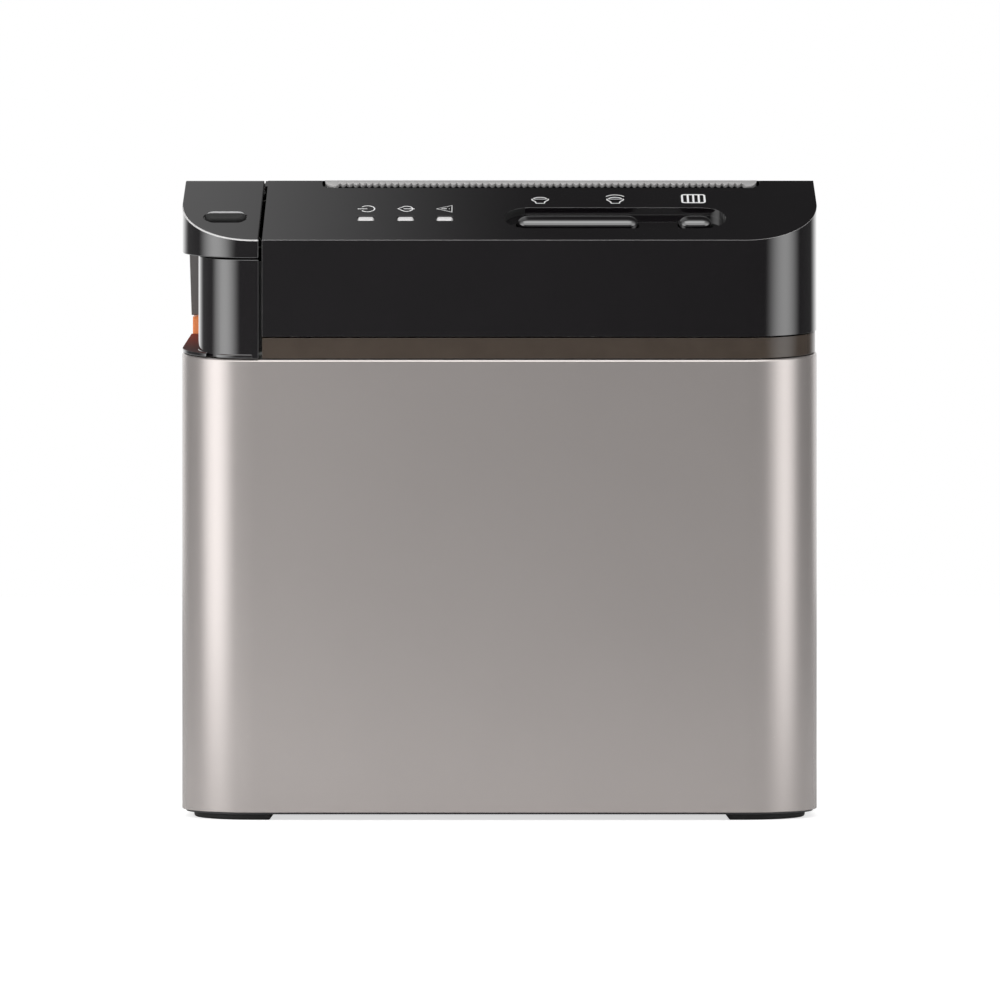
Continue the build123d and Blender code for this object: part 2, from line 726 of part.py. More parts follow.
with BuildPart() as release_pad:
    outline_prism(0, rim_height, crest_height + panel_skin)
    block((left_x, gap_left), (front_y, bend_y), (rim_height, crest_height + panel_skin), Mode.INTERSECT)
    split(bisect_by=seam_plane(pad_low), keep=Keep.TOP)
    split(bisect_by=slope_plane, keep=Keep.BOTTOM)
    add(pad_hollow(), mode=Mode.SUBTRACT)
    side_shape(((bend_y, seam_z(pad_low, bend_y)), (pad_back, seam_z(pad_low, pad_back)),
                (pad_back, pad_pin_z), (pad_pin_y, pad_pin_z), (bend_y, bend_z)), (left_x, gap_left))
    cross_rod(pad_end_radius, (left_x, gap_left), (pad_pin_y, pad_pin_z))
    ear_slot_x = (column_left - seam_gap, column_left + column_wall + seam_gap)
    block(ear_slot_x, (crest_y - 1.5 * groove_end, pad_back), (rim_height, pad_pin_z), Mode.SUBTRACT)
    cross_rod(ear_radius + seam_gap, ear_slot_x, (pad_pin_y, pad_pin_z), Mode.SUBTRACT)
    cross_rod(pad_pin_radius + running_gap, (left_x + 1, gap_left), (pad_pin_y, pad_pin_z), Mode.SUBTRACT)
    slope_slot((grip_x - grip_length / 2, grip_x + grip_length / 2), grip_along, grip_width,
               (-1, grip_recess), Mode.SUBTRACT)
finish(release_pad, "release_pad")

with BuildPart() as pad_grip:
    slope_slot((grip_x - grip_length / 2 + seam_gap, grip_x + grip_length / 2 - seam_gap), grip_along,
               grip_width - 2 * seam_gap, (-grip_rise, grip_recess))
    fillet(on_slope(pad_grip).edges(), grip_rise)
finish(pad_grip, "pad_grip")

with BuildPart() as pad_pin:
    cross_rod(pad_pin_radius, (left_x + 1.5, gap_right + panel_skin), (pad_pin_y, pad_pin_z))
finish(pad_pin, "pad_pin")

# Hinged cover and rear housing


def cover_hollow():
    """Space between the cover's side walls and under its roof."""
    with BuildPart() as hollow:
        block((left_x + wall, right_x - wall), (front_y, back_y), (shell_bottom, crest_height))
        split(bisect_by=roof_plane.offset(-wall), keep=Keep.BOTTOM)
    return hollow.part


def pad_space():
    """Space that the cover leaves free for the release pad and its ear."""
    with BuildPart() as space:
        block((left_x - wall, gap_right + panel_skin + seam_gap), (front_y, hinge_y),
              (shell_bottom, crest_height + wall))
        split(bisect_by=edge_plane(pad_back + seam_gap + seam_gap / 2), keep=Keep.BOTTOM)
    return space.part


def housing_hollow():
    """Space inside the rear housing, open below."""
    with BuildPart() as hollow:
        outline_prism(wall, rim_height, crest_height)
        block((-barrel_half, barrel_half), (housing_front + wall, back_y), (rim_height, crest_height),
              Mode.INTERSECT)
        split(bisect_by=roof_plane.offset(-wall), keep=Keep.BOTTOM)
    return hollow.part


def hinge_ears():
    """Round ends of the hinge on both sides, cut to the body's outline."""
    with BuildPart() as ears:
        for side in (-1, 1):
            cross_rod(barrel_radius, sorted((side * (barrel_half + barrel_clearance), side * right_x)), hinge)
        outline_prism(0, rim_height, crest_height, Mode.INTERSECT)
    return ears.part


with BuildPart() as top_cover:
    outline_prism(0, rim_height, crest_height + wall)
    split(bisect_by=seam_plane(cover_low), keep=Keep.TOP)
    split(bisect_by=roof_plane, keep=Keep.BOTTOM)
    split(bisect_by=edge_plane(crest_y + seam_gap), keep=Keep.TOP)
    block((left_x, right_x), (front_y, hinge_y), (rim_height, crest_height + wall), Mode.INTERSECT)
    add(cover_hollow(), mode=Mode.SUBTRACT)
    add(pad_space(), mode=Mode.SUBTRACT)
    slope_block(tear_x, (slope_length - tear_root - running_gap, slope_length + tear_root),
                (tear_thickness + running_gap, lip_depth))
    cross_rod(barrel_radius, (-barrel_half, barrel_half), hinge)
    for side in (-1, 1):
        cross_rod(barrel_radius + barrel_clearance,
                  sorted((side * barrel_half, side * body_width)), hinge, Mode.SUBTRACT)
        cross_rod(hinge_pin_radius + running_gap,
                  sorted((side * (hinge_pin_inner - running_gap), side * barrel_half)), hinge, Mode.SUBTRACT)
finish(top_cover, "top_cover")

with BuildPart() as rear_housing:
    outline_prism(0, rim_height, crest_height)
    split(bisect_by=seam_plane(cover_low), keep=Keep.TOP)
    split(bisect_by=roof_plane, keep=Keep.BOTTOM)
    block((left_x, right_x), (hinge_y + barrel_clearance, back_y), (rim_height, crest_height),
          Mode.INTERSECT)
    block((left_x, right_x), (hinge_y, housing_front), (hinge_z + ear_fill, crest_height), Mode.SUBTRACT)
    block((-barrel_half - barrel_clearance, barrel_half + barrel_clearance), (hinge_y, housing_front),
          (rim_height, crest_height), Mode.SUBTRACT)
    add(housing_hollow(), mode=Mode.SUBTRACT)
    add(hinge_ears())
    for side in (-1, 1):
        cross_rod(hinge_pin_radius, sorted((side * barrel_half, side * hinge_pin_outer)), hinge,
                  Mode.SUBTRACT)
finish(rear_housing, "rear_housing")

for name, side in (("hinge_pin_left", -1), ("hinge_pin_right", 1)):
    with BuildPart() as hinge_pin:
        cross_rod(hinge_pin_radius, sorted((side * hinge_pin_inner, side * hinge_pin_outer)), hinge)
    finish(hinge_pin, name)

with BuildPart() as tear_bar:
    with BuildSketch(slope_plane.offset(-tear_thickness)) as tear_outline:
        bar_middle = (tear_x[0] + tear_x[1]) / 2
        teeth_middle = (tear_teeth_x[0] + tear_teeth_x[1]) / 2
        teeth_width = tear_teeth_x[1] - tear_teeth_x[0]
        with Locations((bar_middle, slope_length - tear_tab)):
            Rectangle(tear_x[1] - tear_x[0], tear_tab, align=(Align.CENTER, Align.MIN))
        fillet(tear_outline.vertices().group_by(Axis.Y)[0], slot_corner)
        with Locations((teeth_middle, slope_length - tear_tab)):
            Rectangle(teeth_width, tear_tab - tear_root, align=(Align.CENTER, Align.MIN), mode=Mode.SUBTRACT)
        pitch = teeth_width / tear_teeth
        comb = [(tear_teeth_x[0] + tooth * pitch / 2, slope_length - (tear_tip if tooth % 2 else tear_root))
                for tooth in range(2 * tear_teeth + 1)]
        with BuildLine():
            Polyline(*comb, (tear_teeth_x[1], slope_length - tear_root / 2),
                     (tear_teeth_x[0], slope_length - tear_root / 2), close=True)
        make_face()
    extrude(amount=tear_thickness)
finish(tear_bar, "tear_bar")

# Platen and gears

with BuildPart() as platen_holder:
    block((arm_left_x[0], arm_right_x[1]), (beam_y[0], holder_back), (holder_low, crest_height))
    block((arm_left_x[0], arm_right_x[1]), beam_y, (beam_low, crest_height))
    for span in (arm_left_x, arm_right_x):
        block(span, (beam_y[1] - 1, platen_y + arm_radius), (platen_z, crest_height))
        cross_rod(arm_radius, span, platen)
        cross_rod(bush_radius, span, platen, Mode.SUBTRACT)
    split(bisect_by=roof_plane.offset(-wall), keep=Keep.BOTTOM)
finish(platen_holder, "platen_holder")

with BuildPart() as fixed_blade:
    block(fixed_blade_x, fixed_blade_y, fixed_blade_z)
finish(fixed_blade, "fixed_blade")

for name, span, flange in (
        ("platen_bush_left", arm_left_x, (arm_left_x[0] - flange_thickness, arm_left_x[0])),
        ("platen_bush_right", arm_right_x, (arm_right_x[1], arm_right_x[1] + flange_thickness))):
    with BuildPart() as bush:
        cross_rod(bush_radius, span, platen)
        cross_rod(flange_radius, flange, platen)
        cross_rod(shaft_radius + running_gap, shaft_x, platen, Mode.SUBTRACT)
    finish(bush, name)

with BuildPart() as platen_shaft:
    cross_rod(shaft_radius, shaft_x, platen)
finish(platen_shaft, "platen_shaft")

with BuildPart() as platen_roller:
    cross_rod(platen_radius, roller_x, platen)
    cross_rod(shaft_radius, roller_x, platen, Mode.SUBTRACT)
finish(platen_roller, "platen_roller")

gear_width = gear_x[1] - gear_x[0]
to_idler = 270 + idler_lean
to_pinion = 270 - pinion_lean
with BuildPart() as platen_gear:
    spur_gear(platen_teeth, gear_module, to_idler, yz_plane(gear_x[0], platen), gear_width, shaft_radius)
finish(platen_gear, "platen_gear")

idler_turn = to_idler + 180 + 180 / idler_teeth
with BuildPart() as idler_gear:
    spur_gear(idler_teeth, gear_module, idler_turn, yz_plane(gear_x[0], (idler_y, idler_z)), gear_width,
              idler_pin_radius + running_gap)
finish(idler_gear, "idler_gear")

idler_phase = ((to_pinion - idler_turn) * idler_teeth / 360) % 1
pinion_turn = to_pinion + 180 + (0.5 + idler_phase) * 360 / pinion_teeth
with BuildPart() as feed_pinion:
    spur_gear(pinion_teeth, gear_module, pinion_turn, yz_plane(gear_x[0], (pinion_y, pinion_z)), gear_width,
              motor_shaft_radius + running_gap)
finish(feed_pinion, "feed_pinion")

with BuildPart() as idler_pin:
    cross_rod(idler_pin_radius, (frame_left, gear_x[1] + seam_gap), (idler_y, idler_z))
finish(idler_pin, "idler_pin")

with BuildPart() as feed_motor:
    cross_rod(motor_radius, (frame_left - motor_length, frame_left), (pinion_y, pinion_z))
    cross_rod(motor_shaft_radius, (frame_left, gear_x[1] + seam_gap), (pinion_y, pinion_z))
finish(feed_motor, "feed_motor")

# Fixed mechanism

with BuildPart() as mechanism_frame:
    for span in ((frame_left, frame_left + plate), (frame_right - plate, frame_right)):
        side_shape(((frame_y[0], frame_low), (frame_y[0], frame_high),
                    (beam_y[0] - frame_step[0], frame_high), (beam_y[0] - frame_step[1], frame_rear_top),
                    (frame_y[1], frame_rear_top), (frame_y[1], frame_low)), span)
        cross_rod(shaft_radius + 2 * running_gap, span, platen, Mode.SUBTRACT)
        block(span, (platen_y - shaft_radius - notch_forward, platen_y + shaft_radius + 2 * running_gap),
              (platen_z, frame_high), Mode.SUBTRACT)
        cross_rod(latch_radius + running_gap, span, (latch_y, latch_z), Mode.SUBTRACT)
    cross_rod(idler_pin_radius, (frame_left, frame_left + plate), (idler_y, idler_z), Mode.SUBTRACT)
    cross_rod(2 * motor_shaft_radius, (frame_left, frame_left + plate), (pinion_y, pinion_z), Mode.SUBTRACT)
    block((frame_left, frame_right), (frame_y[0], tray_y[1]), (frame_low, frame_low + plate))
    for x in spring_x:
        head_block((x - tab_width / 2, x + tab_width / 2), (-tab_down, 0), (spring_end, spring_end + plate))
finish(mechanism_frame, "mechanism_frame")

with BuildPart() as print_head:
    head_block(head_x, (-head_down, head_up), (0, ceramic_thickness))
finish(print_head, "print_head")

with BuildPart() as head_heatsink:
    head_block(head_x, (-head_down, head_up), (ceramic_thickness, ceramic_thickness + heatsink_thickness))
finish(head_heatsink, "head_heatsink")

with BuildPart() as head_springs:
    with BuildSketch(head_plane.offset(ceramic_thickness + heatsink_thickness)) as spring_rings:
        with Locations(*[(x, -spring_radius - 1) for x in spring_x]):
            Circle(spring_radius)
            Circle(spring_bore, mode=Mode.SUBTRACT)
    extrude(amount=spring_length)
finish(head_springs, "head_springs")

with BuildPart() as cutter_frame:
    block(tray_x, tray_y, (tray_low, tray_top))
    block((frame_left + plate, frame_right - plate), (tray_y[0], tray_y[0] + tray_apron),
          (tray_low, tray_top))
    for span in ((tray_x[0], tray_x[0] + rail_width), (tray_x[1] - rail_width, tray_x[1])):
        block(span, tray_y, (tray_top, tray_top + rail_height))
    rod(cutter_pitch_radius + 2 * cutter_module, (cutter_x, cutter_y, tray_low),
        (cutter_x, cutter_y, tray_top), Mode.SUBTRACT)
finish(cutter_frame, "cutter_frame")

rack_window_x = (cutter_x - cutter_pitch_radius - cutter_margin, rack_line + 1.1 * cutter_module)
rack_window_y = (cutter_y - cutter_travel - cutter_pitch_radius - cutter_margin,
                 cutter_y + cutter_pitch_radius + cutter_margin)
rack_teeth = range(-5, 3)
with BuildPart() as moving_blade:
    with BuildSketch(Plane.XY.offset(blade_z[0])) as blade_outline:
        blade_middle = (blade_x[0] + blade_x[1]) / 2
        with BuildLine():
            Polyline((blade_x[0], blade_y[0]), (blade_x[1], blade_y[0]), (blade_x[1], blade_y[1]),
                     (blade_middle, blade_y[1] - blade_vee), (blade_x[0], blade_y[1]), close=True)
        make_face()
        with Locations((sum(rack_window_x) / 2, sum(rack_window_y) / 2)):
            Rectangle(rack_window_x[1] - rack_window_x[0], rack_window_y[1] - rack_window_y[0],
                      mode=Mode.SUBTRACT)
        tooth_root_x = rack_window_x[1] + running_gap
        tooth_top_x = rack_line - tooth_top * cutter_module
        for tooth in rack_teeth:
            tooth_y = cutter_y + tooth * rack_pitch
            with BuildLine():
                Polyline((tooth_root_x, tooth_y - tooth_foot_half * rack_pitch),
                         (tooth_root_x, tooth_y + tooth_foot_half * rack_pitch),
                         (tooth_top_x, tooth_y + tooth_top_half * rack_pitch),
                         (tooth_top_x, tooth_y - tooth_top_half * rack_pitch), close=True)
            make_face()
    extrude(amount=blade_z[1] - blade_z[0])
finish(moving_blade, "moving_blade")

with BuildPart() as cutter_pinion:
    spur_gear(cutter_teeth, cutter_module, 180 / cutter_teeth,
              Plane(origin=(cutter_x, cutter_y, tray_low + seam_gap), x_dir=(1, 0, 0), z_dir=(0, 0, 1)),
              blade_z[1] - tray_low, cutter_shaft_radius + running_gap)
finish(cutter_pinion, "cutter_pinion")

with BuildPart() as cutter_motor:
    rod(cutter_motor_radius, (cutter_x, cutter_y, tray_low - cutter_motor_length),
        (cutter_x, cutter_y, tray_low))
    rod(cutter_shaft_radius, (cutter_x, cutter_y, tray_low), (cutter_x, cutter_y, blade_z[1]))
finish(cutter_motor, "cutter_motor")

# Latch: each hook's arm rises from the shaft to a claw in front of the platen shaft's end
claw_back = hook_front - claw_depth
arm_foot = ((latch_y - 1.5 * latch_radius, latch_z + latch_radius / 2),
            (latch_y, latch_z - 1.75 * latch_radius),
            (latch_y + 2 * latch_radius, latch_z - 1.25 * latch_radius))
arm_head = ((claw_back, platen_z - claw_half), (hook_front, platen_z - claw_half / 2),
            (hook_front, platen_z + claw_half), (claw_back, platen_z + claw_half),
            (claw_back - claw_depth / 2, platen_z))
with BuildPart() as latch_bar:
    cross_rod(latch_radius, latch_x, latch)
    for span in (hook_left_x, hook_right_x):
        side_shape((*arm_foot, *arm_head, (latch_y + latch_radius / 2, latch_z + 1.75 * latch_radius)), span)
    side_shape(((latch_y - 1.5 * latch_radius, latch_z - 1.5 * latch_radius),
                (latch_y + 1.5 * latch_radius, latch_z - 1.5 * latch_radius),
                (latch_y + latch_radius, latch_z + crank_height),
                (latch_y - latch_radius, latch_z + crank_height)), crank_x)
finish(latch_bar, "latch_bar")

with BuildPart() as latch_spring:
    cross_rod(latch_radius + latch_spring_wire, latch_spring_x, latch)
    cross_rod(latch_radius + running_gap, shaft_x, latch, Mode.SUBTRACT)
finish(latch_spring, "latch_spring")

# Paper bucket


def bucket_shape(skin, x_span, front_top, rear_top, mode=Mode.ADD):
    """Round-bottomed trough along X with upright walls, its inside grown by skin."""
    with BuildSketch(Plane.YZ.offset(x_span[0])) as outline:
        with BuildLine():
            start = (bucket_front - skin, bucket_spring_line)
            end = (bucket_rear + skin, bucket_spring_line)
            ThreePointArc(start, (bucket_y, bucket_low - skin), end)
            Polyline(end, (end[0], rear_top), ((start[0] + bucket_y) / 2, rear_top),
                     (start[0], front_top), start)
        make_face()
    extrude(outline.sketch, amount=x_span[1] - x_span[0], mode=mode)


nose_places = []
for step in range(5):
    swing = radians(lever_swing * step / 4)
    reach_y = lever_tip[0] - lever_pivot[0]
    reach_z = lever_tip[1] - lever_pivot[1]
    nose_places.append((lever_pivot[0] + reach_y * cos(swing) - reach_z * sin(swing),
                        lever_pivot[1] + reach_y * sin(swing) + reach_z * cos(swing)))
deck_z = (frame_low - deck_thickness, frame_low)
with BuildPart() as paper_bucket:
    bucket_shape(bucket_wall, bucket_outer_x, bucket_front_top, bucket_rear_top)
    for span in ((bucket_outer_x[0], bucket_x[0]), (bucket_x[1], bucket_outer_x[1])):
        block(span, (bucket_front - bucket_wall, bucket_front - bucket_wall + leg_length),
              (base_top, bucket_spring_line))
        block(span, rear_leg_y, (base_top, bucket_spring_line))
    block((frame_left, frame_right), (frame_y[0], bucket_front), deck_z)
    for x in post_x:
        rod(post_radius, (x, post_y, base_top), (x, post_y, deck_z[0]))
    bucket_shape(0, bucket_x, bucket_front_top + crest_height, bucket_rear_top + crest_height, Mode.SUBTRACT)
    block((cable_x[0] - cable_margin, cable_x[1] + cable_margin),
          (cable_y - cable_margin, cable_y + cable_margin), deck_z, Mode.SUBTRACT)
    for place in nose_places:
        cross_rod(nose_radius + nose_gap, (bucket_outer_x[0], bucket_x[0]), place, Mode.SUBTRACT)
finish(paper_bucket, "paper_bucket")

lever_x = (bucket_outer_x[0] - seam_gap - lever_thickness, bucket_outer_x[0] - seam_gap)
with BuildPart() as near_end_lever:
    side_shape(((lever_pivot[0] - lever_half, lever_pivot[1] + lever_half),
                (lever_pivot[0] + lever_half, lever_pivot[1] - lever_half),
                (lever_tip[0] + nose_radius, lever_tip[1] - nose_radius),
                (lever_tip[0] - nose_radius, lever_tip[1] + nose_radius)), lever_x)
    cross_rod(lever_eye, lever_x, lever_pivot)
    cross_rod(nose_radius, (lever_x[1], bucket_x[0] + nose_reach), lever_tip)
    cross_rod(hinge_pin_radius + running_gap, lever_x, lever_pivot, Mode.SUBTRACT)
finish(near_end_lever, "near_end_lever")

with BuildPart() as lever_pin:
    cross_rod(hinge_pin_radius, (lever_x[0] - 1, bucket_outer_x[0]), lever_pivot)
finish(lever_pin, "lever_pin")

# Electronics

main_top = main_low + main_thickness
board_screw_places = [(side * main_hole_x, end) for side in (-1, 1) for end in main_hole_y]
with BuildPart() as main_board:
    block(main_x, main_y, (main_low, main_top))
    for x_span, y_span, height in (processor, driver):
        block(x_span, y_span, (main_top, main_top + height))
    block((cable_x[0] - cable_margin, cable_x[1] + cable_margin), connector_y,
          (main_top, main_top + connector_height))
    for place in capacitors:
        rod(capacitor_radius, (*place, main_top), (*place, main_top + capacitor_height))
    for place in board_screw_places:
        rod(screw_radius + fit_gap, (*place, main_low), (*place, main_top), Mode.SUBTRACT)
    block((bucket_outer_x[0] - leg_gap, bucket_x[0] + leg_gap), (rear_leg_y[0] - leg_gap, main_y[1]),
          (main_low, main_top), Mode.SUBTRACT)
finish(main_board, "main_board")

with BuildPart() as board_screws:
    with Locations(*[(*place, main_top) for place in board_screw_places]):
        Cylinder(screw_head_radius, screw_head_height, align=(Align.CENTER, Align.CENTER, Align.MIN))
        Cylinder(screw_radius, main_top - base_top, align=(Align.CENTER, Align.CENTER, Align.MAX))
finish(board_screws, "board_screws")

socket_y = (back_y - wall + socket_out - socket_depth, back_y - wall + socket_out)
sockets = {"network_socket": (network_x, 16.4, 13.4), "drawer_socket": (drawer_x, 14.0, 13.4),
           "usb_socket": (usb_x, 12.0, 11.0), "power_socket": (power_x, 11.0, 11.0)}
with BuildPart() as rear_plate:
    block((rear_x[0] - rear_overlap, rear_x[1] + rear_overlap),
          (back_y - wall - rear_thickness, back_y - wall),
          (rear_z[0] - rear_overlap, rear_z[1] + rear_overlap))
    for x, width, height in sockets.values():
        block((x - width / 2 - fit_gap, x + width / 2 + fit_gap), (back_y - 3 * wall, back_y),
              (main_top - fit_gap, main_top + height + fit_gap), Mode.SUBTRACT)
    block((switch_x - switch_half[0] - fit_gap, switch_x + switch_half[0] + fit_gap),
          (back_y - 3 * wall, back_y),
          (switch_z - switch_half[1] - fit_gap, switch_z + switch_half[1] + fit_gap), Mode.SUBTRACT)
finish(rear_plate, "rear_plate")

for name, mouth in (("network_socket", network_mouth), ("drawer_socket", drawer_mouth)):
    x, width, height = sockets[name]
    with BuildPart() as socket:
        block((x - width / 2, x + width / 2), socket_y, (main_top, main_top + height))
        block((x - mouth[0] / 2, x + mouth[0] / 2), (socket_y[1] - jack_mouth_depth, socket_y[1]),
              (main_top + jack_floor, main_top + jack_floor + mouth[1]), Mode.SUBTRACT)
    finish(socket, name)

with BuildPart() as usb_socket:
    x, width, height = sockets["usb_socket"]
    block((x - width / 2, x + width / 2), socket_y, (main_top, main_top + height))
    middle = main_top + height / 2
    block((x - usb_mouth[0] / 2, x + usb_mouth[0] / 2), (socket_y[1] - small_mouth_depth, socket_y[1]),
          (middle - usb_mouth[1] / 2, middle + usb_mouth[1] / 2), Mode.SUBTRACT)
    block((x - usb_tongue[0] / 2, x + usb_tongue[0] / 2),
          (socket_y[1] - small_mouth_depth, socket_y[1] - contact_setback),
          (middle - usb_tongue[1] / 2, middle + usb_tongue[1] / 2))
finish(usb_socket, "usb_socket")

with BuildPart() as power_socket:
    x, width, height = sockets["power_socket"]
    block((x - width / 2, x + width / 2), socket_y, (main_top, main_top + height))
    middle = main_top + height / 2
    rod(power_bore, (x, socket_y[1] - small_mouth_depth, middle), (x, socket_y[1], middle), Mode.SUBTRACT)
    rod(power_core, (x, socket_y[1] - small_mouth_depth, middle), (x, socket_y[1] - contact_setback, middle))
finish(power_socket, "power_socket")

switch_pivot_y = back_y - switch_pivot_inset
switch_span = (switch_x - switch_opening[0], switch_x + switch_opening[0])
with BuildPart() as switch_body:
    block((switch_x - switch_half[0], switch_x + switch_half[0]), (socket_y[1] - switch_depth, socket_y[1]),
          (switch_z - switch_half[1], switch_z + switch_half[1]))
    block(switch_span, (switch_pivot_y - switch_sweep, socket_y[1]),
          (switch_z - switch_opening[1], switch_z + switch_opening[1]), Mode.SUBTRACT)
    block(switch_span,
          (switch_pivot_y - switch_sweep, switch_pivot_y - rocker_thickness / 2 - 2 * running_gap),
          (switch_z - rocker_ridge, switch_z + rocker_ridge))
    cross_rod(switch_stub_radius + running_gap,
              (switch_x - switch_stub_half - running_gap, switch_x + switch_stub_half + running_gap),
              (switch_pivot_y, switch_z), Mode.SUBTRACT)
finish(switch_body, "switch_body")

with BuildPart() as power_switch:
    tilted = Plane(origin=(switch_x, switch_pivot_y, switch_z), x_dir=(1, 0, 0),
                   z_dir=(0, sin(radians(rocker_tilt)), cos(radians(rocker_tilt))))
    with BuildSketch(tilted.offset(-rocker_half[1])) as rocker_outline:
        Rectangle(2 * rocker_half[0], rocker_thickness)
    extrude(amount=2 * rocker_half[1])
    fillet(power_switch.edges().filter_by(Axis.X), rocker_edge)
    cross_rod(switch_stub_radius, (switch_x - switch_stub_half, switch_x + switch_stub_half),
              (switch_pivot_y, switch_z))
finish(power_switch, "power_switch")

with BuildPart() as speaker:
    rod(speaker_radius, (0, speaker_y, base_top), (0, speaker_y, base_top + speaker_height))
    rod(magnet_radius, (0, speaker_y, base_top), (0, speaker_y, base_top + 2 * speaker_height))
    rod(speaker_radius - speaker_rim, (0, speaker_y, base_top), (0, speaker_y, base_top + speaker_dish),
        Mode.SUBTRACT)
finish(speaker, "speaker")

cable_end_y = sum(connector_y) / 2
cable_end_z = main_top + connector_height + 1.9
with BuildPart() as head_cable:
    with BuildSketch(Plane.YZ.offset(cable_x[0])) as cable_section:
        with BuildLine() as cable_line:
            FilletPolyline((cable_y, cable_top), (cable_y, cable_low),
                           (cable_end_y - cable_run, cable_end_z + 1.5), (cable_end_y, cable_end_z),
                           radius=cable_bend)
        trace(cable_line.line, line_width=cable_thickness)
    extrude(amount=cable_x[1] - cable_x[0])
finish(head_cable, "head_cable")

print("idler", round(idler_y, 3), round(idler_z, 3), "pinion", round(pinion_y, 3), round(pinion_z, 3))
print("pad pin", round(pad_pin_y, 3), round(pad_pin_z, 3), "hinge", hinge, "latch", latch)
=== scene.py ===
"""Dresses the receipt printer: finishes, rounded skins, keys, printing, sockets and studio."""

import logging
import math
from dataclasses import dataclass, field
from enum import Enum
from typing import Any, Callable, ClassVar, Optional, Sequence, Union

import bpy
from mathutils import Matrix, Vector


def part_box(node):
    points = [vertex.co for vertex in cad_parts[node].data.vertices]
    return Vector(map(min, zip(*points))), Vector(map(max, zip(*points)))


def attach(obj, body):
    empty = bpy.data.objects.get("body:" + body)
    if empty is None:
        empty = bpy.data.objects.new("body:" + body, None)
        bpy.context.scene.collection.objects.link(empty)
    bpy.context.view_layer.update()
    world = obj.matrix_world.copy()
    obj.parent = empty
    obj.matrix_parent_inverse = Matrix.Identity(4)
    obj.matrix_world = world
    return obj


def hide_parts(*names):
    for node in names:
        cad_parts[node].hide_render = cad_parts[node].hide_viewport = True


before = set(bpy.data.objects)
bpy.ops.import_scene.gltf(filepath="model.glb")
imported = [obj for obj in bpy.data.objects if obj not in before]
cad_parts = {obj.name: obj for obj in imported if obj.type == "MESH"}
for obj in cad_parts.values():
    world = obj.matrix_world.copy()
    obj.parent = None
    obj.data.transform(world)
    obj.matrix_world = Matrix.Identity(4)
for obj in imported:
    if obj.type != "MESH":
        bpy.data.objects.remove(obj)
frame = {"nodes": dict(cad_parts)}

log = logging.getLogger("printer")
MM = 0.001
FACING = 0.9

Triple = tuple[float, float, float]
Pair = tuple[float, float]


class Slot(Enum):
    """Material slots that the record names."""

    SHELL_METAL = "shell_metal"
    GLOSS_BLACK = "gloss_black"
    SMOKED_CLEAR = "smoked_clear"
    AMBER_CLEAR = "amber_clear"
    LENS_GREY = "lens_grey"
    BLADE_STEEL = "blade_steel"
    PLATED_STEEL = "plated_steel"
    BLACK_RUBBER = "black_rubber"
    PLATEN_RUBBER = "platen_rubber"
    DARK_PLASTIC = "dark_plastic"
    GEAR_PLASTIC = "gear_plastic"
    BOARD = "board"
    SOCKET_METAL = "socket_metal"
    HEAD_CERAMIC = "head_ceramic"
    BARE_ALUMINIUM = "bare_aluminium"
    CABLE_FILM = "cable_film"
    PINION_BRASS = "pinion_brass"


class Direction(Enum):
    """Which way a ground or drawn surface has its lines."""

    ACROSS = (0.03, 1.0, 1.0)
    DEEP = (1.0, 0.03, 1.0)
    UPRIGHT = (1.0, 1.0, 0.03)


class Signal:
    """A node's output that adds Math nodes when it is used in an expression."""

    def __init__(self, tree: bpy.types.NodeTree, socket: bpy.types.NodeSocket) -> None:
        """Wraps one output socket of a tree."""
        self.tree = tree
        self.socket = socket

    def _math(self, operation: str, first: Any, second: Any = 0.0) -> "Signal":
        """Adds one Math node.

        Args:
            operation: Name of the Math node's operation.
            first: First operand, a signal or a number.
            second: Second operand, a signal or a number.

        Returns:
            The signal of the node's result.
        """
        node = self.tree.nodes.new("ShaderNodeMath")
        node.operation = operation
        for place, value in enumerate((first, second)):
            if isinstance(value, Signal):
                self.tree.links.new(value.socket, node.inputs[place])
            else:
                node.inputs[place].default_value = value
        return Signal(self.tree, node.outputs[0])

    def __add__(self, other: Any) -> "Signal":
        """Sum with a signal or a number."""
        return self._math("ADD", self, other)

    __radd__ = __add__

    def __mul__(self, other: Any) -> "Signal":
        """Product with a signal or a number."""
        return self._math("MULTIPLY", self, other)

    __rmul__ = __mul__

    def __sub__(self, other: Any) -> "Signal":
        """Difference from a signal or a number."""
        return self._math("SUBTRACT", self, other)

    def __rsub__(self, other: Any) -> "Signal":
        """A number less this signal."""
        return self._math("SUBTRACT", other, self)

    def maximum(self, other: Any) -> "Signal":
        """The larger of two signals."""
        return self._math("MAXIMUM", self, other)


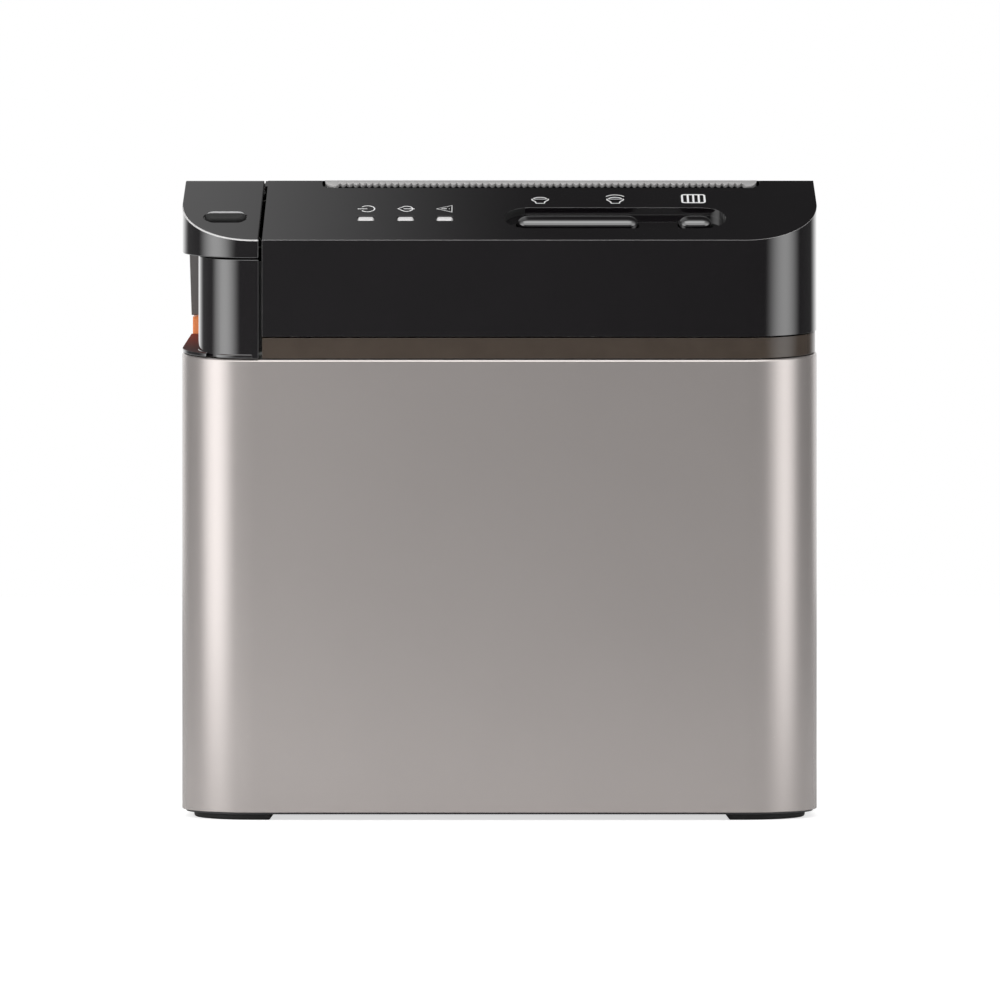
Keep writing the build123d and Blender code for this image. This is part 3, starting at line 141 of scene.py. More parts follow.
class Nodes:
    """A node tree with short ways to add nodes."""

    def __init__(self, tree: bpy.types.NodeTree) -> None:
        """Empties the tree."""
        self.tree = tree
        tree.nodes.clear()

    def feed(self, socket: bpy.types.NodeSocket, value: Any) -> None:
        """Links a signal to a socket, or sets the socket's own value."""
        if isinstance(value, Signal):
            self.tree.links.new(value.socket, socket)
        else:
            socket.default_value = value

    def add(self, kind: str, settings: Optional[dict[str, Any]] = None,
            inputs: Optional[dict[Union[str, int], Any]] = None) -> bpy.types.Node:
        """Adds a node.

        Args:
            kind: The node's type name.
            settings: Properties, set before the inputs.
            inputs: Values or signals by socket name or number.

        Returns:
            The new node.
        """
        node = self.tree.nodes.new(kind)
        for name, value in (settings or {}).items():
            setattr(node, name, value)
        for name, value in (inputs or {}).items():
            self.feed(node.inputs[name], value)
        return node

    def out(self, node: bpy.types.Node, name: Union[str, int] = 0) -> Signal:
        """Signal of one of a node's outputs."""
        return Signal(self.tree, node.outputs[name])

    def ramp(self, value: Signal, start: float, end: float, low: float = 0.0,
             high: float = 1.0) -> Signal:
        """Soft step from low to high as a signal goes from start to end."""
        node = self.add("ShaderNodeMapRange", {"interpolation_type": "SMOOTHSTEP"},
                        {"Value": value, "From Min": start, "From Max": end, "To Min": low,
                         "To Max": high})
        return self.out(node)

    def blend(self, factor: Any, first: Any, second: Any) -> Signal:
        """Colour between two colours."""
        node = self.add("ShaderNodeMix", {"data_type": "RGBA"}, {0: factor, 6: first, 7: second})
        return self.out(node, 2)


class Surface(Nodes):
    """A material with one Principled shader and patterns on Object coordinates."""

    def __init__(self, name: str) -> None:
        """Makes the material and its shader."""
        self.material = bpy.data.materials.new(name)
        self.material.use_nodes = True
        super().__init__(self.material.node_tree)
        self.shader = self.add("ShaderNodeBsdfPrincipled")
        output = self.add("ShaderNodeOutputMaterial")
        self.tree.links.new(self.shader.outputs[0], output.inputs[0])
        self.place = self.out(self.add("ShaderNodeTexCoord"), "Object")

    def set(self, **values: Any) -> None:
        """Sets or links the shader's sockets, named with underscores for spaces."""
        for name, value in values.items():
            self.feed(self.shader.inputs[name.replace("_", " ")], value)

    def stretched(self, scale: Triple) -> Signal:
        """Object coordinates scaled on each axis."""
        node = self.add("ShaderNodeMapping", None, {"Vector": self.place, "Scale": scale})
        return self.out(node)

    def noise(self, pitch: float, detail: float = 3.0, vector: Optional[Signal] = None) -> Signal:
        """Noise whose lumps are about pitch metres apart."""
        node = self.add("ShaderNodeTexNoise", None,
                        {"Vector": vector or self.place, "Scale": 1.0 / pitch, "Detail": detail})
        return self.out(node, 0)

    def cells(self, pitch: float, feature: str = "F1") -> Signal:
        """Distance pattern of cells about pitch metres apart."""
        node = self.add("ShaderNodeTexVoronoi", {"feature": feature},
                        {"Vector": self.place, "Scale": 1.0 / pitch})
        return self.out(node, 0)

    def relief(self, height: Signal, depth: float, strength: float) -> None:
        """Feeds a bump of the given depth in metres to the shader's normal."""
        node = self.add("ShaderNodeBump", None,
                        {"Height": height, "Distance": depth, "Strength": strength})
        self.feed(self.shader.inputs["Normal"], self.out(node))


def rgba(colour: Triple, level: float = 1.0) -> tuple[float, float, float, float]:
    """Colour with its brightness scaled and an opaque alpha."""
    return (colour[0] * level, colour[1] * level, colour[2] * level, 1.0)


@dataclass(frozen=True)
class Finish:
    """A surface finish that makes its material once. Lengths are in metres."""

    slot: Slot
    colour: Triple
    roughness: float
    tone: Pair = (0.85, 1.15)
    gloss_spread: float = 0.1
    depth: float = 0.000003
    strength: float = 0.3

    made: ClassVar[dict["Finish", bpy.types.Material]] = {}

    def paint(self, surface: Surface) -> None:
        """Adds this finish's own nodes to a surface."""

    def tint(self, surface: Surface, pattern: Signal) -> Signal:
        """The colour, from its darkest to its lightest tone as a pattern rises."""
        dark, light = self.tone
        return surface.blend(pattern, rgba(self.colour, dark), rgba(self.colour, light))

    def gloss(self, pattern: Signal) -> Signal:
        """The roughness, spread about its mean by a pattern."""
        return self.roughness + (pattern - 0.5) * self.gloss_spread

    def material(self) -> bpy.types.Material:
        """The finish's material, made on first use."""
        if self not in Finish.made:
            surface = Surface(f"{self.slot.value}_{type(self).__name__}")
            self.paint(surface)
            Finish.made[self] = surface.material
        return Finish.made[self]


@dataclass(frozen=True)
class SatinMetal(Finish):
    """Bead-blasted metal with a soft metallic lacquer."""

    tone: Pair = (0.95, 1.05)
    gloss_spread: float = 0.08
    depth: float = 0.000004
    strength: float = 0.35
    metallic: float = 0.62
    bead: float = 0.00025
    cloud: float = 0.03
    shares: Pair = (0.6, 0.4)

    def paint(self, surface: Surface) -> None:
        """Fine beads, cloudy tone and uneven gloss."""
        beads = surface.noise(self.bead, 2.0)
        clouds = surface.noise(self.cloud, 2.0)
        pattern = clouds * self.shares[0] + beads * self.shares[1]
        surface.set(Base_Color=self.tint(surface, pattern), Metallic=self.metallic,
                    Roughness=self.gloss(beads))
        surface.relief(beads, self.depth, self.strength)


@dataclass(frozen=True)
class GlossPlastic(Finish):
    """Polished black moulding with faint handling marks."""

    tone: Pair = (0.8, 1.2)
    gloss_spread: float = 0.05
    depth: float = 0.0000004
    ior: float = 1.75
    smudge: float = 0.012
    smudge_range: Pair = (0.5, 0.75)
    peel: float = 0.0006

    def paint(self, surface: Surface) -> None:
        """Slightly uneven polish and a very shallow orange peel."""
        marks = surface.noise(self.smudge, 5.0)
        fine = surface.noise(self.peel, 2.0)
        surface.set(Base_Color=self.tint(surface, marks),
                    Roughness=self.roughness
                    + surface.ramp(marks, *self.smudge_range) * self.gloss_spread,
                    IOR=self.ior, Coat_Weight=1.0, Coat_Roughness=0.02)
        surface.relief(fine, self.depth, self.strength)


@dataclass(frozen=True)
class ClearPlastic(Finish):
    """Tinted light guide that glows faintly and lets light through."""

    gloss_spread: float = 0.08
    transmission: float = 0.8
    glow: float = 0.0
    frosting: float = 0.004

    def paint(self, surface: Surface) -> None:
        """Tint with fine frosting inside."""
        haze = surface.noise(self.frosting, 3.0)
        tint = self.tint(surface, haze)
        surface.set(Base_Color=tint, Roughness=self.roughness + haze * self.gloss_spread,
                    IOR=1.49, Transmission_Weight=self.transmission, Emission_Color=tint,
                    Emission_Strength=self.glow)


@dataclass(frozen=True)
class PaintedAmberGlowShelf(Finish):
    """Dark ledge with the amber light's glow painted on: red-brown painted light near the lamp,
    and a faint emission.
    """

    painted_glow_tint: Triple = (0.20, 0.035, 0.022)
    near: float = -0.020
    far: float = -0.056
    grain: float = 0.0004
    glow: float = 0.25

    def paint(self, surface: Surface) -> None:
        """Painted red-brown light from the amber lamp, fading to dark towards the front, with a
        fine grain.
        """
        spot = surface.add("ShaderNodeSeparateXYZ", None, {0: surface.place})
        painted_glow = surface.ramp(surface.out(spot, 1), self.far, self.near)
        grain = surface.noise(self.grain, 2.0)
        tint = surface.blend(painted_glow, rgba(self.colour), rgba(self.painted_glow_tint))
        surface.set(Base_Color=tint, Roughness=self.roughness + grain * self.gloss_spread,
                    Specular_IOR_Level=0.1, Emission_Color=tint, Emission_Strength=self.glow)


@dataclass(frozen=True)
class FrostedAndPaintedHighlight(Finish):
    """Pale diffusing plastic, printing ink, and the pale painted highlights and painted reflection
    put on gloss-black edges and faces.
    """

    tone: Pair = (0.93, 1.05)
    glow: float = 0.0
    grain: float = 0.00015

    def paint(self, surface: Surface) -> None:
        """Even pale colour with a fine grain, and a faint painted glow where glow is set."""
        grain = surface.noise(self.grain, 2.0)
        tint = self.tint(surface, grain)
        # The emission gives print, lens windows and the pocket rim a painted glow.
        surface.set(Base_Color=tint, Roughness=self.roughness + grain * self.gloss_spread,
                    Emission_Color=tint, Emission_Strength=self.glow)
        surface.relief(grain, self.depth, self.strength)


@dataclass(frozen=True)
class DrawnMetal(Finish):
    """Ground, drawn or plated metal with fine lines one way."""

    tone: Pair = (0.86, 1.12)
    gloss_spread: float = 0.12
    strength: float = 0.5
    lines: Direction = Direction.ACROSS
    pitch: float = 0.00009
    line_gloss: float = 0.1
    tarnish: float = 0.009
    shares: Pair = (0.55, 0.45)

    def paint(self, surface: Surface) -> None:
        """Long fine lines in tone, gloss and relief, and a soft tarnish."""
        lines = surface.noise(self.pitch, 2.0, surface.stretched(self.lines.value))
        tarnish = surface.noise(self.tarnish, 3.0)
        pattern = lines * self.shares[0] + tarnish * self.shares[1]
        surface.set(Base_Color=self.tint(surface, pattern), Metallic=1.0,
                    Roughness=self.gloss(tarnish) + (lines - 0.5) * self.line_gloss)
        surface.relief(lines, self.depth, self.strength)


@dataclass(frozen=True)
class Rubber(Finish):
    """Matt rubber with a stippled skin."""

    tone: Pair = (1.0, 1.9)
    gloss_spread: float = 0.12
    depth: float = 0.00001
    strength: float = 0.4
    stipple: float = 0.0005
    bloom: float = 0.006
    bloom_share: float = 0.6

    def paint(self, surface: Surface) -> None:
        """Stipple, with a dusty bloom on the high spots."""
        dots = surface.cells(self.stipple)
        bloom = surface.noise(self.bloom, 4.0)
        surface.set(Base_Color=self.tint(surface, bloom * self.bloom_share),
                    Roughness=self.gloss(bloom))
        surface.relief(dots, self.depth, self.strength)


@dataclass(frozen=True)
class MouldedPlastic(Finish):
    """Plastic with a spark-eroded grain from the mould."""

    gloss_spread: float = 0.12
    depth: float = 0.000012
    strength: float = 0.45
    grain: float = 0.0004
    flow: float = 0.02

    def paint(self, surface: Surface) -> None:
        """Fine cellular grain with a slight change of tone."""
        cells = surface.cells(self.grain, "SMOOTH_F1")
        flow = surface.noise(self.flow, 3.0)
        surface.set(Base_Color=self.tint(surface, flow), Roughness=self.gloss(cells))
        surface.relief(cells, self.depth, self.strength)


@dataclass(frozen=True)
class CircuitBoard(Finish):
    """Solder mask over copper tracks, with tinned pads."""

    gloss_spread: float = 0.12
    depth: float = 0.00002
    strength: float = 0.6
    track: float = 0.0011
    pad_range: Pair = (0.22, 0.17)
    dust: float = 0.003
    copper: Triple = (0.05, 0.26, 0.12)
    tin: Triple = (0.55, 0.55, 0.52)

    def paint(self, surface: Surface) -> None:
        """Tracks as lighter bands under the mask and small round pads."""
        bands = surface.add("ShaderNodeTexBrick", {"offset": 0.5},
                            {"Vector": surface.place, "Scale": 1.0 / (9 * self.track),
                             "Mortar Size": 0.045, "Brick Width": 0.9, "Row Height": 0.22})
        tracks = surface.out(bands, "Fac")
        pads = surface.ramp(surface.cells(3.2 * self.track), *self.pad_range)
        mask = surface.blend(tracks, rgba(self.colour), rgba(self.copper))
        surface.set(Base_Color=surface.blend(pads, mask, rgba(self.tin)), Metallic=pads * 0.8,
                    Roughness=self.roughness + surface.noise(self.dust) * self.gloss_spread)
        surface.relief(tracks.maximum(pads), self.depth, self.strength)


SHELL = SatinMetal(Slot.SHELL_METAL, (0.50, 0.462, 0.445), 0.25)
BLACK = GlossPlastic(Slot.GLOSS_BLACK, (0.006, 0.005, 0.006), 0.03)
# Pale grey painted highlight for the rounded front edges of the gloss-black panel and pad.
EDGE_PAINTED_HIGHLIGHT = FrostedAndPaintedHighlight(Slot.GLOSS_BLACK, (0.62, 0.61, 0.61), 0.3)
# Dimmer grey painted highlight for the panel's front-left upright edge.
SIDE_EDGE_PAINTED_HIGHLIGHT = FrostedAndPaintedHighlight(Slot.GLOSS_BLACK, (0.3, 0.295, 0.295), 0.3)
# Pale painted highlight with a painted glow for the pocket's upper rim.
RIM_PAINTED_HIGHLIGHT = FrostedAndPaintedHighlight(Slot.GLOSS_BLACK, (0.62, 0.61, 0.61), 0.3, glow=0.1)
# Pale painted highlight for the grip's upper faces.
GRIP_TOP_PAINTED_HIGHLIGHT = FrostedAndPaintedHighlight(Slot.GLOSS_BLACK, (0.52, 0.52, 0.53), 0.3)
MATT = Rubber(Slot.GLOSS_BLACK, (0.006, 0.006, 0.006), 0.75)
# Grey painted reflection for the cover's faces that tilt down at the front, by the lever.
WALL_PAINTED_REFLECTION = FrostedAndPaintedHighlight(Slot.GLOSS_BLACK, (0.13, 0.122, 0.12), 0.5)
# Dark ledge with the amber light's glow painted on, as painted light and a faint emission.
SHELF_PAINTED_GLOW = PaintedAmberGlowShelf(Slot.GLOSS_BLACK, (0.05, 0.028, 0.026), 0.7)
SMOKED = ClearPlastic(Slot.SMOKED_CLEAR, (0.075, 0.058, 0.046), 0.06, transmission=0.15)
AMBER = ClearPlastic(Slot.AMBER_CLEAR, (0.62, 0.20, 0.065), 0.2, transmission=0.2, glow=0.3)
# The lens windows glow faintly; this emission is a painted glow.
LENS_WITH_PAINTED_GLOW = FrostedAndPaintedHighlight(Slot.LENS_GREY, (0.66, 0.65, 0.65), 0.3, glow=0.2)
# The print glows faintly; this emission is a painted glow.
INK_WITH_PAINTED_GLOW = FrostedAndPaintedHighlight(Slot.LENS_GREY, (0.86, 0.86, 0.86), 0.45, glow=0.12)
BLADE = SatinMetal(Slot.BLADE_STEEL, (0.60, 0.59, 0.585), 0.38, metallic=0.35, bead=0.0004)
GROUND_STEEL = DrawnMetal(Slot.BLADE_STEEL, (0.66, 0.65, 0.64), 0.26)
PLATED = DrawnMetal(Slot.PLATED_STEEL, (0.52, 0.52, 0.51), 0.34)
BLACKENED = DrawnMetal(Slot.PLATED_STEEL, (0.03, 0.03, 0.03), 0.4)
PLATED_UPRIGHT = DrawnMetal(Slot.PLATED_STEEL, (0.50, 0.50, 0.50), 0.38, lines=Direction.UPRIGHT)
FOOT_RUBBER = Rubber(Slot.BLACK_RUBBER, (0.014, 0.014, 0.014), 0.62)
ROLLER_RUBBER = Rubber(Slot.PLATEN_RUBBER, (0.03, 0.03, 0.034), 0.5, stipple=0.0002)
DARK = MouldedPlastic(Slot.DARK_PLASTIC, (0.035, 0.035, 0.038), 0.5)
NATURAL = MouldedPlastic(Slot.GEAR_PLASTIC, (0.72, 0.70, 0.65), 0.42, grain=0.0008)
MASK = CircuitBoard(Slot.BOARD, (0.02, 0.13, 0.06), 0.35)
TINNED = DrawnMetal(Slot.SOCKET_METAL, (0.58, 0.58, 0.59), 0.3, lines=Direction.DEEP)
GLAZE = GlossPlastic(Slot.HEAD_CERAMIC, (0.26, 0.13, 0.08), 0.12, ior=1.6)
EXTRUDED = DrawnMetal(Slot.BARE_ALUMINIUM, (0.70, 0.70, 0.71), 0.36)
FILM = MouldedPlastic(Slot.CABLE_FILM, (0.72, 0.70, 0.63), 0.4, grain=0.0011)
BRASS = DrawnMetal(Slot.PINION_BRASS, (0.75, 0.56, 0.26), 0.28, lines=Direction.UPRIGHT)


def deselect() -> None:
    """Leaves nothing selected and no mesh in edit mode."""
    if bpy.context.mode != "OBJECT":
        bpy.ops.object.mode_set(mode="OBJECT")
    bpy.ops.object.select_all(action="DESELECT")


def activate(piece: bpy.types.Object) -> None:
    """Makes one piece the only selected and active one."""
    deselect()
    piece.select_set(True)
    bpy.context.view_layer.objects.active = piece


def apply_modifier(piece: bpy.types.Object, kind: str, **settings: Any) -> None:
    """Adds one modifier with its settings and applies it."""
    activate(piece)
    modifier = piece.modifiers.new(kind.lower(), kind)
    for name, value in settings.items():
        setattr(modifier, name, value)
    bpy.ops.object.modifier_apply(modifier=modifier.name)


def apply_place(piece: bpy.types.Object, matrix: Matrix) -> None:
    """Moves a piece made at the origin to its place, and puts the place into its mesh."""
    activate(piece)
    piece.matrix_world = matrix
    bpy.ops.object.transform_apply(location=True, rotation=True, scale=True)


def soften(piece: bpy.types.Object, angle: float = 40.0) -> None:
    """Smooth shading that keeps flat faces flat and edges sharper than angle."""
    activate(piece)
    bpy.ops.object.shade_smooth_by_angle(angle=math.radians(angle))
    apply_modifier(piece, "WEIGHTED_NORMAL", keep_sharp=True)


@dataclass
class Slope:
    """The printer's sloping panel: positions across, along from its front edge, and above it."""

    front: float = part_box("lower_shell")[0].y / MM
    front_height: float = 114.4
    crest_height: float = 127.9
    crest_setback: float = 24.8

    @property
    def angle(self) -> float:
        """Tilt of the slope in radians."""
        return math.atan2(self.crest_height - self.front_height, self.crest_setback)

    def matrix(self, across: float = 0.0, along: float = 0.0, above: float = 0.0) -> Matrix:
        """Place on the slope, with X across, Y up the slope and Z out of it.

        Args:
            across: Distance to the right of the middle, in millimetres.
            along: Distance from the slope's front edge, in millimetres.
            above: Height above the surface, in millimetres.

        Returns:
            The matrix from a piece made at the origin to that place.
        """
        start = Matrix.Translation(Vector((0, self.front, self.front_height)) * MM)
        turn = Matrix.Rotation(self.angle, 4, "X")
        return start @ turn @ Matrix.Translation(Vector((across, along, above)) * MM)

    def local(self, point: Vector) -> Vector:
        """Millimetres across, along and above the slope of a point given in metres."""
        return self.matrix().inverted() @ point / MM

    @property
    def length(self) -> float:
        """Length of the slope from its front edge to the crest."""
        return math.hypot(self.crest_height - self.front_height, self.crest_setback)


class Assembly:
    """Common work of every sub-assembly: skins, dressed nodes and new pieces."""

    body: ClassVar[str] = "chassis"
    corner: ClassVar[float] = 48.5
    edge_reach: ClassVar[float] = 0.4
    edge_tilt: ClassVar[Pair] = (0.06, 0.84)
    merge_gap: ClassVar[float] = 0.002
    flat_angle: ClassVar[float] = math.radians(0.5)
    sharp_angle: ClassVar[float] = math.radians(28)

    def __post_init__(self) -> None:
        """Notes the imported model's nodes."""
        self.nodes: dict[str, bpy.types.Object] = frame["nodes"]

    def settle(self, piece: bpy.types.Object, name: str, finish: Finish,
               body: Optional[str] = None, stands_for: Sequence[str] = ()) -> bpy.types.Object:
        """Names a finished piece, paints it and fixes it to its body.

        Args:
            piece: The finished object, at the origin with its place in its mesh.
            name: The piece's name.
            finish: Its finish.
            body: The moving body it rides on, if not the assembly's own.
            stands_for: The nodes that it replaces.

        Returns:
            The piece.
        """
        piece.name = name
        piece.data.name = name
        piece.data.materials.clear()
        piece.data.materials.append(finish.material())
        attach(piece, body or self.body)
        if stands_for:
            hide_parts(*stands_for)
        log.info("%s: %d faces, %s, rides on %s", name, len(piece.data.polygons),
                 finish.slot.value, body or self.body)
        return piece

    def skin(self, node: str, finish: Finish, edge: float, segments: int = 3,
             body: Optional[str] = None) -> bpy.types.Object:
        """Copies a node, merges it, rounds its sharp edges and lets the copy stand for it.

        Args:
            node: The node's name.
            finish: The finish of the copy.
            edge: Size of the rounded edges in millimetres.
            segments: Faces across each rounded edge.
            body: The moving body it rides on, if not the assembly's own.

        Returns:
            The new piece.
        """
        piece = bpy.data.objects.new(node, self.nodes[node].data.copy())
        bpy.context.scene.collection.objects.link(piece)
        activate(piece)
        bpy.ops.mesh.customdata_custom_splitnormals_clear()
        bpy.ops.object.mode_set(mode="EDIT")
        bpy.ops.mesh.select_all(action="SELECT")
        bpy.ops.mesh.remove_doubles(threshold=self.merge_gap * MM)
        bpy.ops.mesh.dissolve_limited(angle_limit=self.flat_angle)
        bpy.ops.object.mode_set(mode="OBJECT")
        apply_modifier(piece, "BEVEL", width=edge * MM, segments=segments,
                       limit_method="ANGLE", angle_limit=self.sharp_angle)
        soften(piece)
        return self.settle(piece, f"{node}_skin", finish, body, (node,))

    def accent(self, piece: bpy.types.Object, finish: Finish,
               chosen: Callable[[bpy.types.MeshPolygon], bool]) -> None:
        """Gives the faces of a piece that a test chooses a second finish."""
        piece.data.materials.append(finish.material())
        place = len(piece.data.materials) - 1
        for face in piece.data.polygons:
            if chosen(face):
                face.material_index = place

    def outer_edge(self, face: bpy.types.MeshPolygon, slope: Slope) -> bool:
        """Whether a face lies on the rounded edge between the slope and the body's outside."""
        centre = slope.local(face.center)
        spot = Vector((abs(face.center.x), face.center.y)) / MM
        arm = spot - Vector((self.corner, -self.corner))
        radius = -slope.front - self.corner
        near = spot.y < slope.front + self.edge_reach or (
            arm.x > 0 > arm.y and arm.length > radius - self.edge_reach)
        return (near and abs(centre.z) < self.edge_reach
                and self.edge_tilt[0] < face.normal.z < self.edge_tilt[1])

    def dress(self, finish: Finish, *names: str) -> None:
        """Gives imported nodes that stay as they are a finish."""
        for name in names:
            node = self.nodes[name]
            if not node.material_slots:
                node.data.materials.append(None)
            for place in node.material_slots:
                place.material = finish.material()
            log.info("%s: kept, %s", name, finish.slot.value)


@dataclass
class CaseBody(Assembly):
    """Metal shell, base plate, feet and the screws that hold them."""

    def build(self) -> None:
        """Makes the lower body."""
        self.skin("lower_shell", SHELL, 0.25)
        self.skin("base_plate", DARK, 0.2)
        for place in ("front_left", "front_right", "rear_left", "rear_right"):
            self.skin(f"foot_{place}", FOOT_RUBBER, 0.2)
        self.dress(PLATED, "case_screws", "board_screws")


@dataclass
class LightRing(Assembly):
    """Smoked band round the body and the amber light beside the release pad."""

    def build(self) -> None:
        """Makes the two light guides."""
        self.skin("light_band", SMOKED, 0.15, 2)
        self.skin("side_light", AMBER, 0.6, 3)


class Icon(Enum):
    """Printed marks beside the lights and keys, all turned a quarter to the left."""

    POWER = "power"
    PAPER = "paper"
    ERROR = "error"
    QUIET = "quiet"
    LOUD = "loud"
    LIST = "list"


@dataclass
class Printing:
    """Draws the marks as flat strokes of ink."""

    slope: Slope
    line: float = 0.26
    bar: float = 0.4
    thickness: float = 0.02
    arc_steps: int = 20
    wave_radius: float = 1.5
    wave_growth: float = 0.55
    wave_foot: float = 1.65
    wave_step: float = 0.72
    wave_rise: float = 0.8
    list_corner: Pair = (1.75, 1.4)
    list_round: float = 0.5
    list_bar: float = 1.7
    list_bars: Triple = (-1.1, 0.0, 1.1)

    def arc(self, centre: Pair, radius: float, start: float, end: float,
            rise: float = 1.0) -> list[Pair]:
        """Points along an arc.

        Args:
            centre: Its middle, in millimetres.
            radius: Its radius, in millimetres.
            start: First angle in degrees.
            end: Last angle in degrees.
            rise: Scale of its height.

        Returns:
            The points in order.
        """
        angles = [math.radians(start + (end - start) * step / self.arc_steps)
                  for step in range(self.arc_steps + 1)]
        return [(centre[0] + radius * math.cos(angle), centre[1] + rise * radius * math.sin(angle))
                for angle in angles]

    def speaker(self, waves: int) -> list[tuple[list[Pair], bool, float]]:
        """Strokes of a loudspeaker that faces up, with a number of waves."""
        outline = [(-0.8, 0.0), (0.8, 0.0), (0.95, 0.75), (1.65, 1.6), (1.65, 2.0),
                   (-1.65, 2.0), (-1.65, 1.6), (-0.95, 0.75)]
        strokes = [(outline, True, self.line)]
        for wave in range(waves):
            radius = self.wave_radius + self.wave_growth * wave
            foot = self.wave_foot + self.wave_step * wave
            strokes.append((self.arc((0, foot), radius, 150, 30, self.wave_rise), False,
                            self.line))
        return strokes

    def strokes(self, icon: Icon) -> list[tuple[list[Pair], bool, float]]:
        """Strokes of one mark.

        Args:
            icon: Which mark.

        Returns:
            For each stroke its points, whether it is closed, and its width.
        """
        if icon is Icon.POWER:
            return [(self.arc((0.25, 0), 1.4, 218, 502), False, self.line),
                    ([(-1.75, 0), (0.2, 0)], False, self.line)]
        if icon is Icon.PAPER:
            return [([(-1.6, 0)] + self.arc((0.15, 0), 1.2, -122, 122), True, self.line),
                    ([(-0.45, 0), (1.75, 0)], False, self.line)]
        if icon is Icon.ERROR:
            return [([(-1.65, 0), (1.4, -1.55), (1.4, 1.55)], True, self.line),
                    ([(-0.7, 0), (0.35, 0)], False, self.line),
                    ([(0.8, 0), (0.95, 0)], False, self.line)]
        if icon is Icon.LIST:
            border = []
            for side, level, turn in ((1, 1, 0), (-1, 1, 90), (-1, -1, 180), (1, -1, 270)):
                corner = (side * self.list_corner[0], level * self.list_corner[1])
                border += self.arc(corner, self.list_round, turn, turn + 90)
            bars = [([(across, -self.list_bar), (across, self.list_bar)], False, self.bar)
                    for across in self.list_bars]
            return [(border, True, self.bar)] + bars
        return self.speaker(1 if icon is Icon.QUIET else 2)

    def draw(self, icon: Icon, across: float, along: float) -> bpy.types.Object:
        """Makes one mark as a flat mesh on the slope.

        Args:
            icon: Which mark.
            across: Its middle, to the right of the printer's middle.
            along: Its middle or foot, from the slope's front edge.

        Returns:
            The mark's object.
        """
        parts = []
        for points, closed, width in self.strokes(icon):
            curve = bpy.data.curves.new(icon.value, "CURVE")
            curve.dimensions = "3D"
            curve.bevel_depth = width / 2 * MM
            curve.bevel_resolution = 2
            curve.use_fill_caps = True
            spline = curve.splines.new("POLY")
            spline.points.add(len(points) - 1)
            for point, place in zip(spline.points, points):
                point.co = (place[0] * MM, place[1] * MM, 0.0, 1.0)
            spline.use_cyclic_u = closed
            part = bpy.data.objects.new(icon.value, curve)
            bpy.context.scene.collection.objects.link(part)
            parts.append(part)
        activate(parts[0])
        for part in parts:
            part.select_set(True)
        bpy.ops.object.convert(target="MESH")
        bpy.ops.object.join()
        mark = bpy.context.view_layer.objects.active
        flat = Matrix.Diagonal((1.0, 1.0, self.thickness / self.line, 1.0))
        apply_place(mark, self.slope.matrix(across, along, self.thickness / 2) @ flat)
        return mark


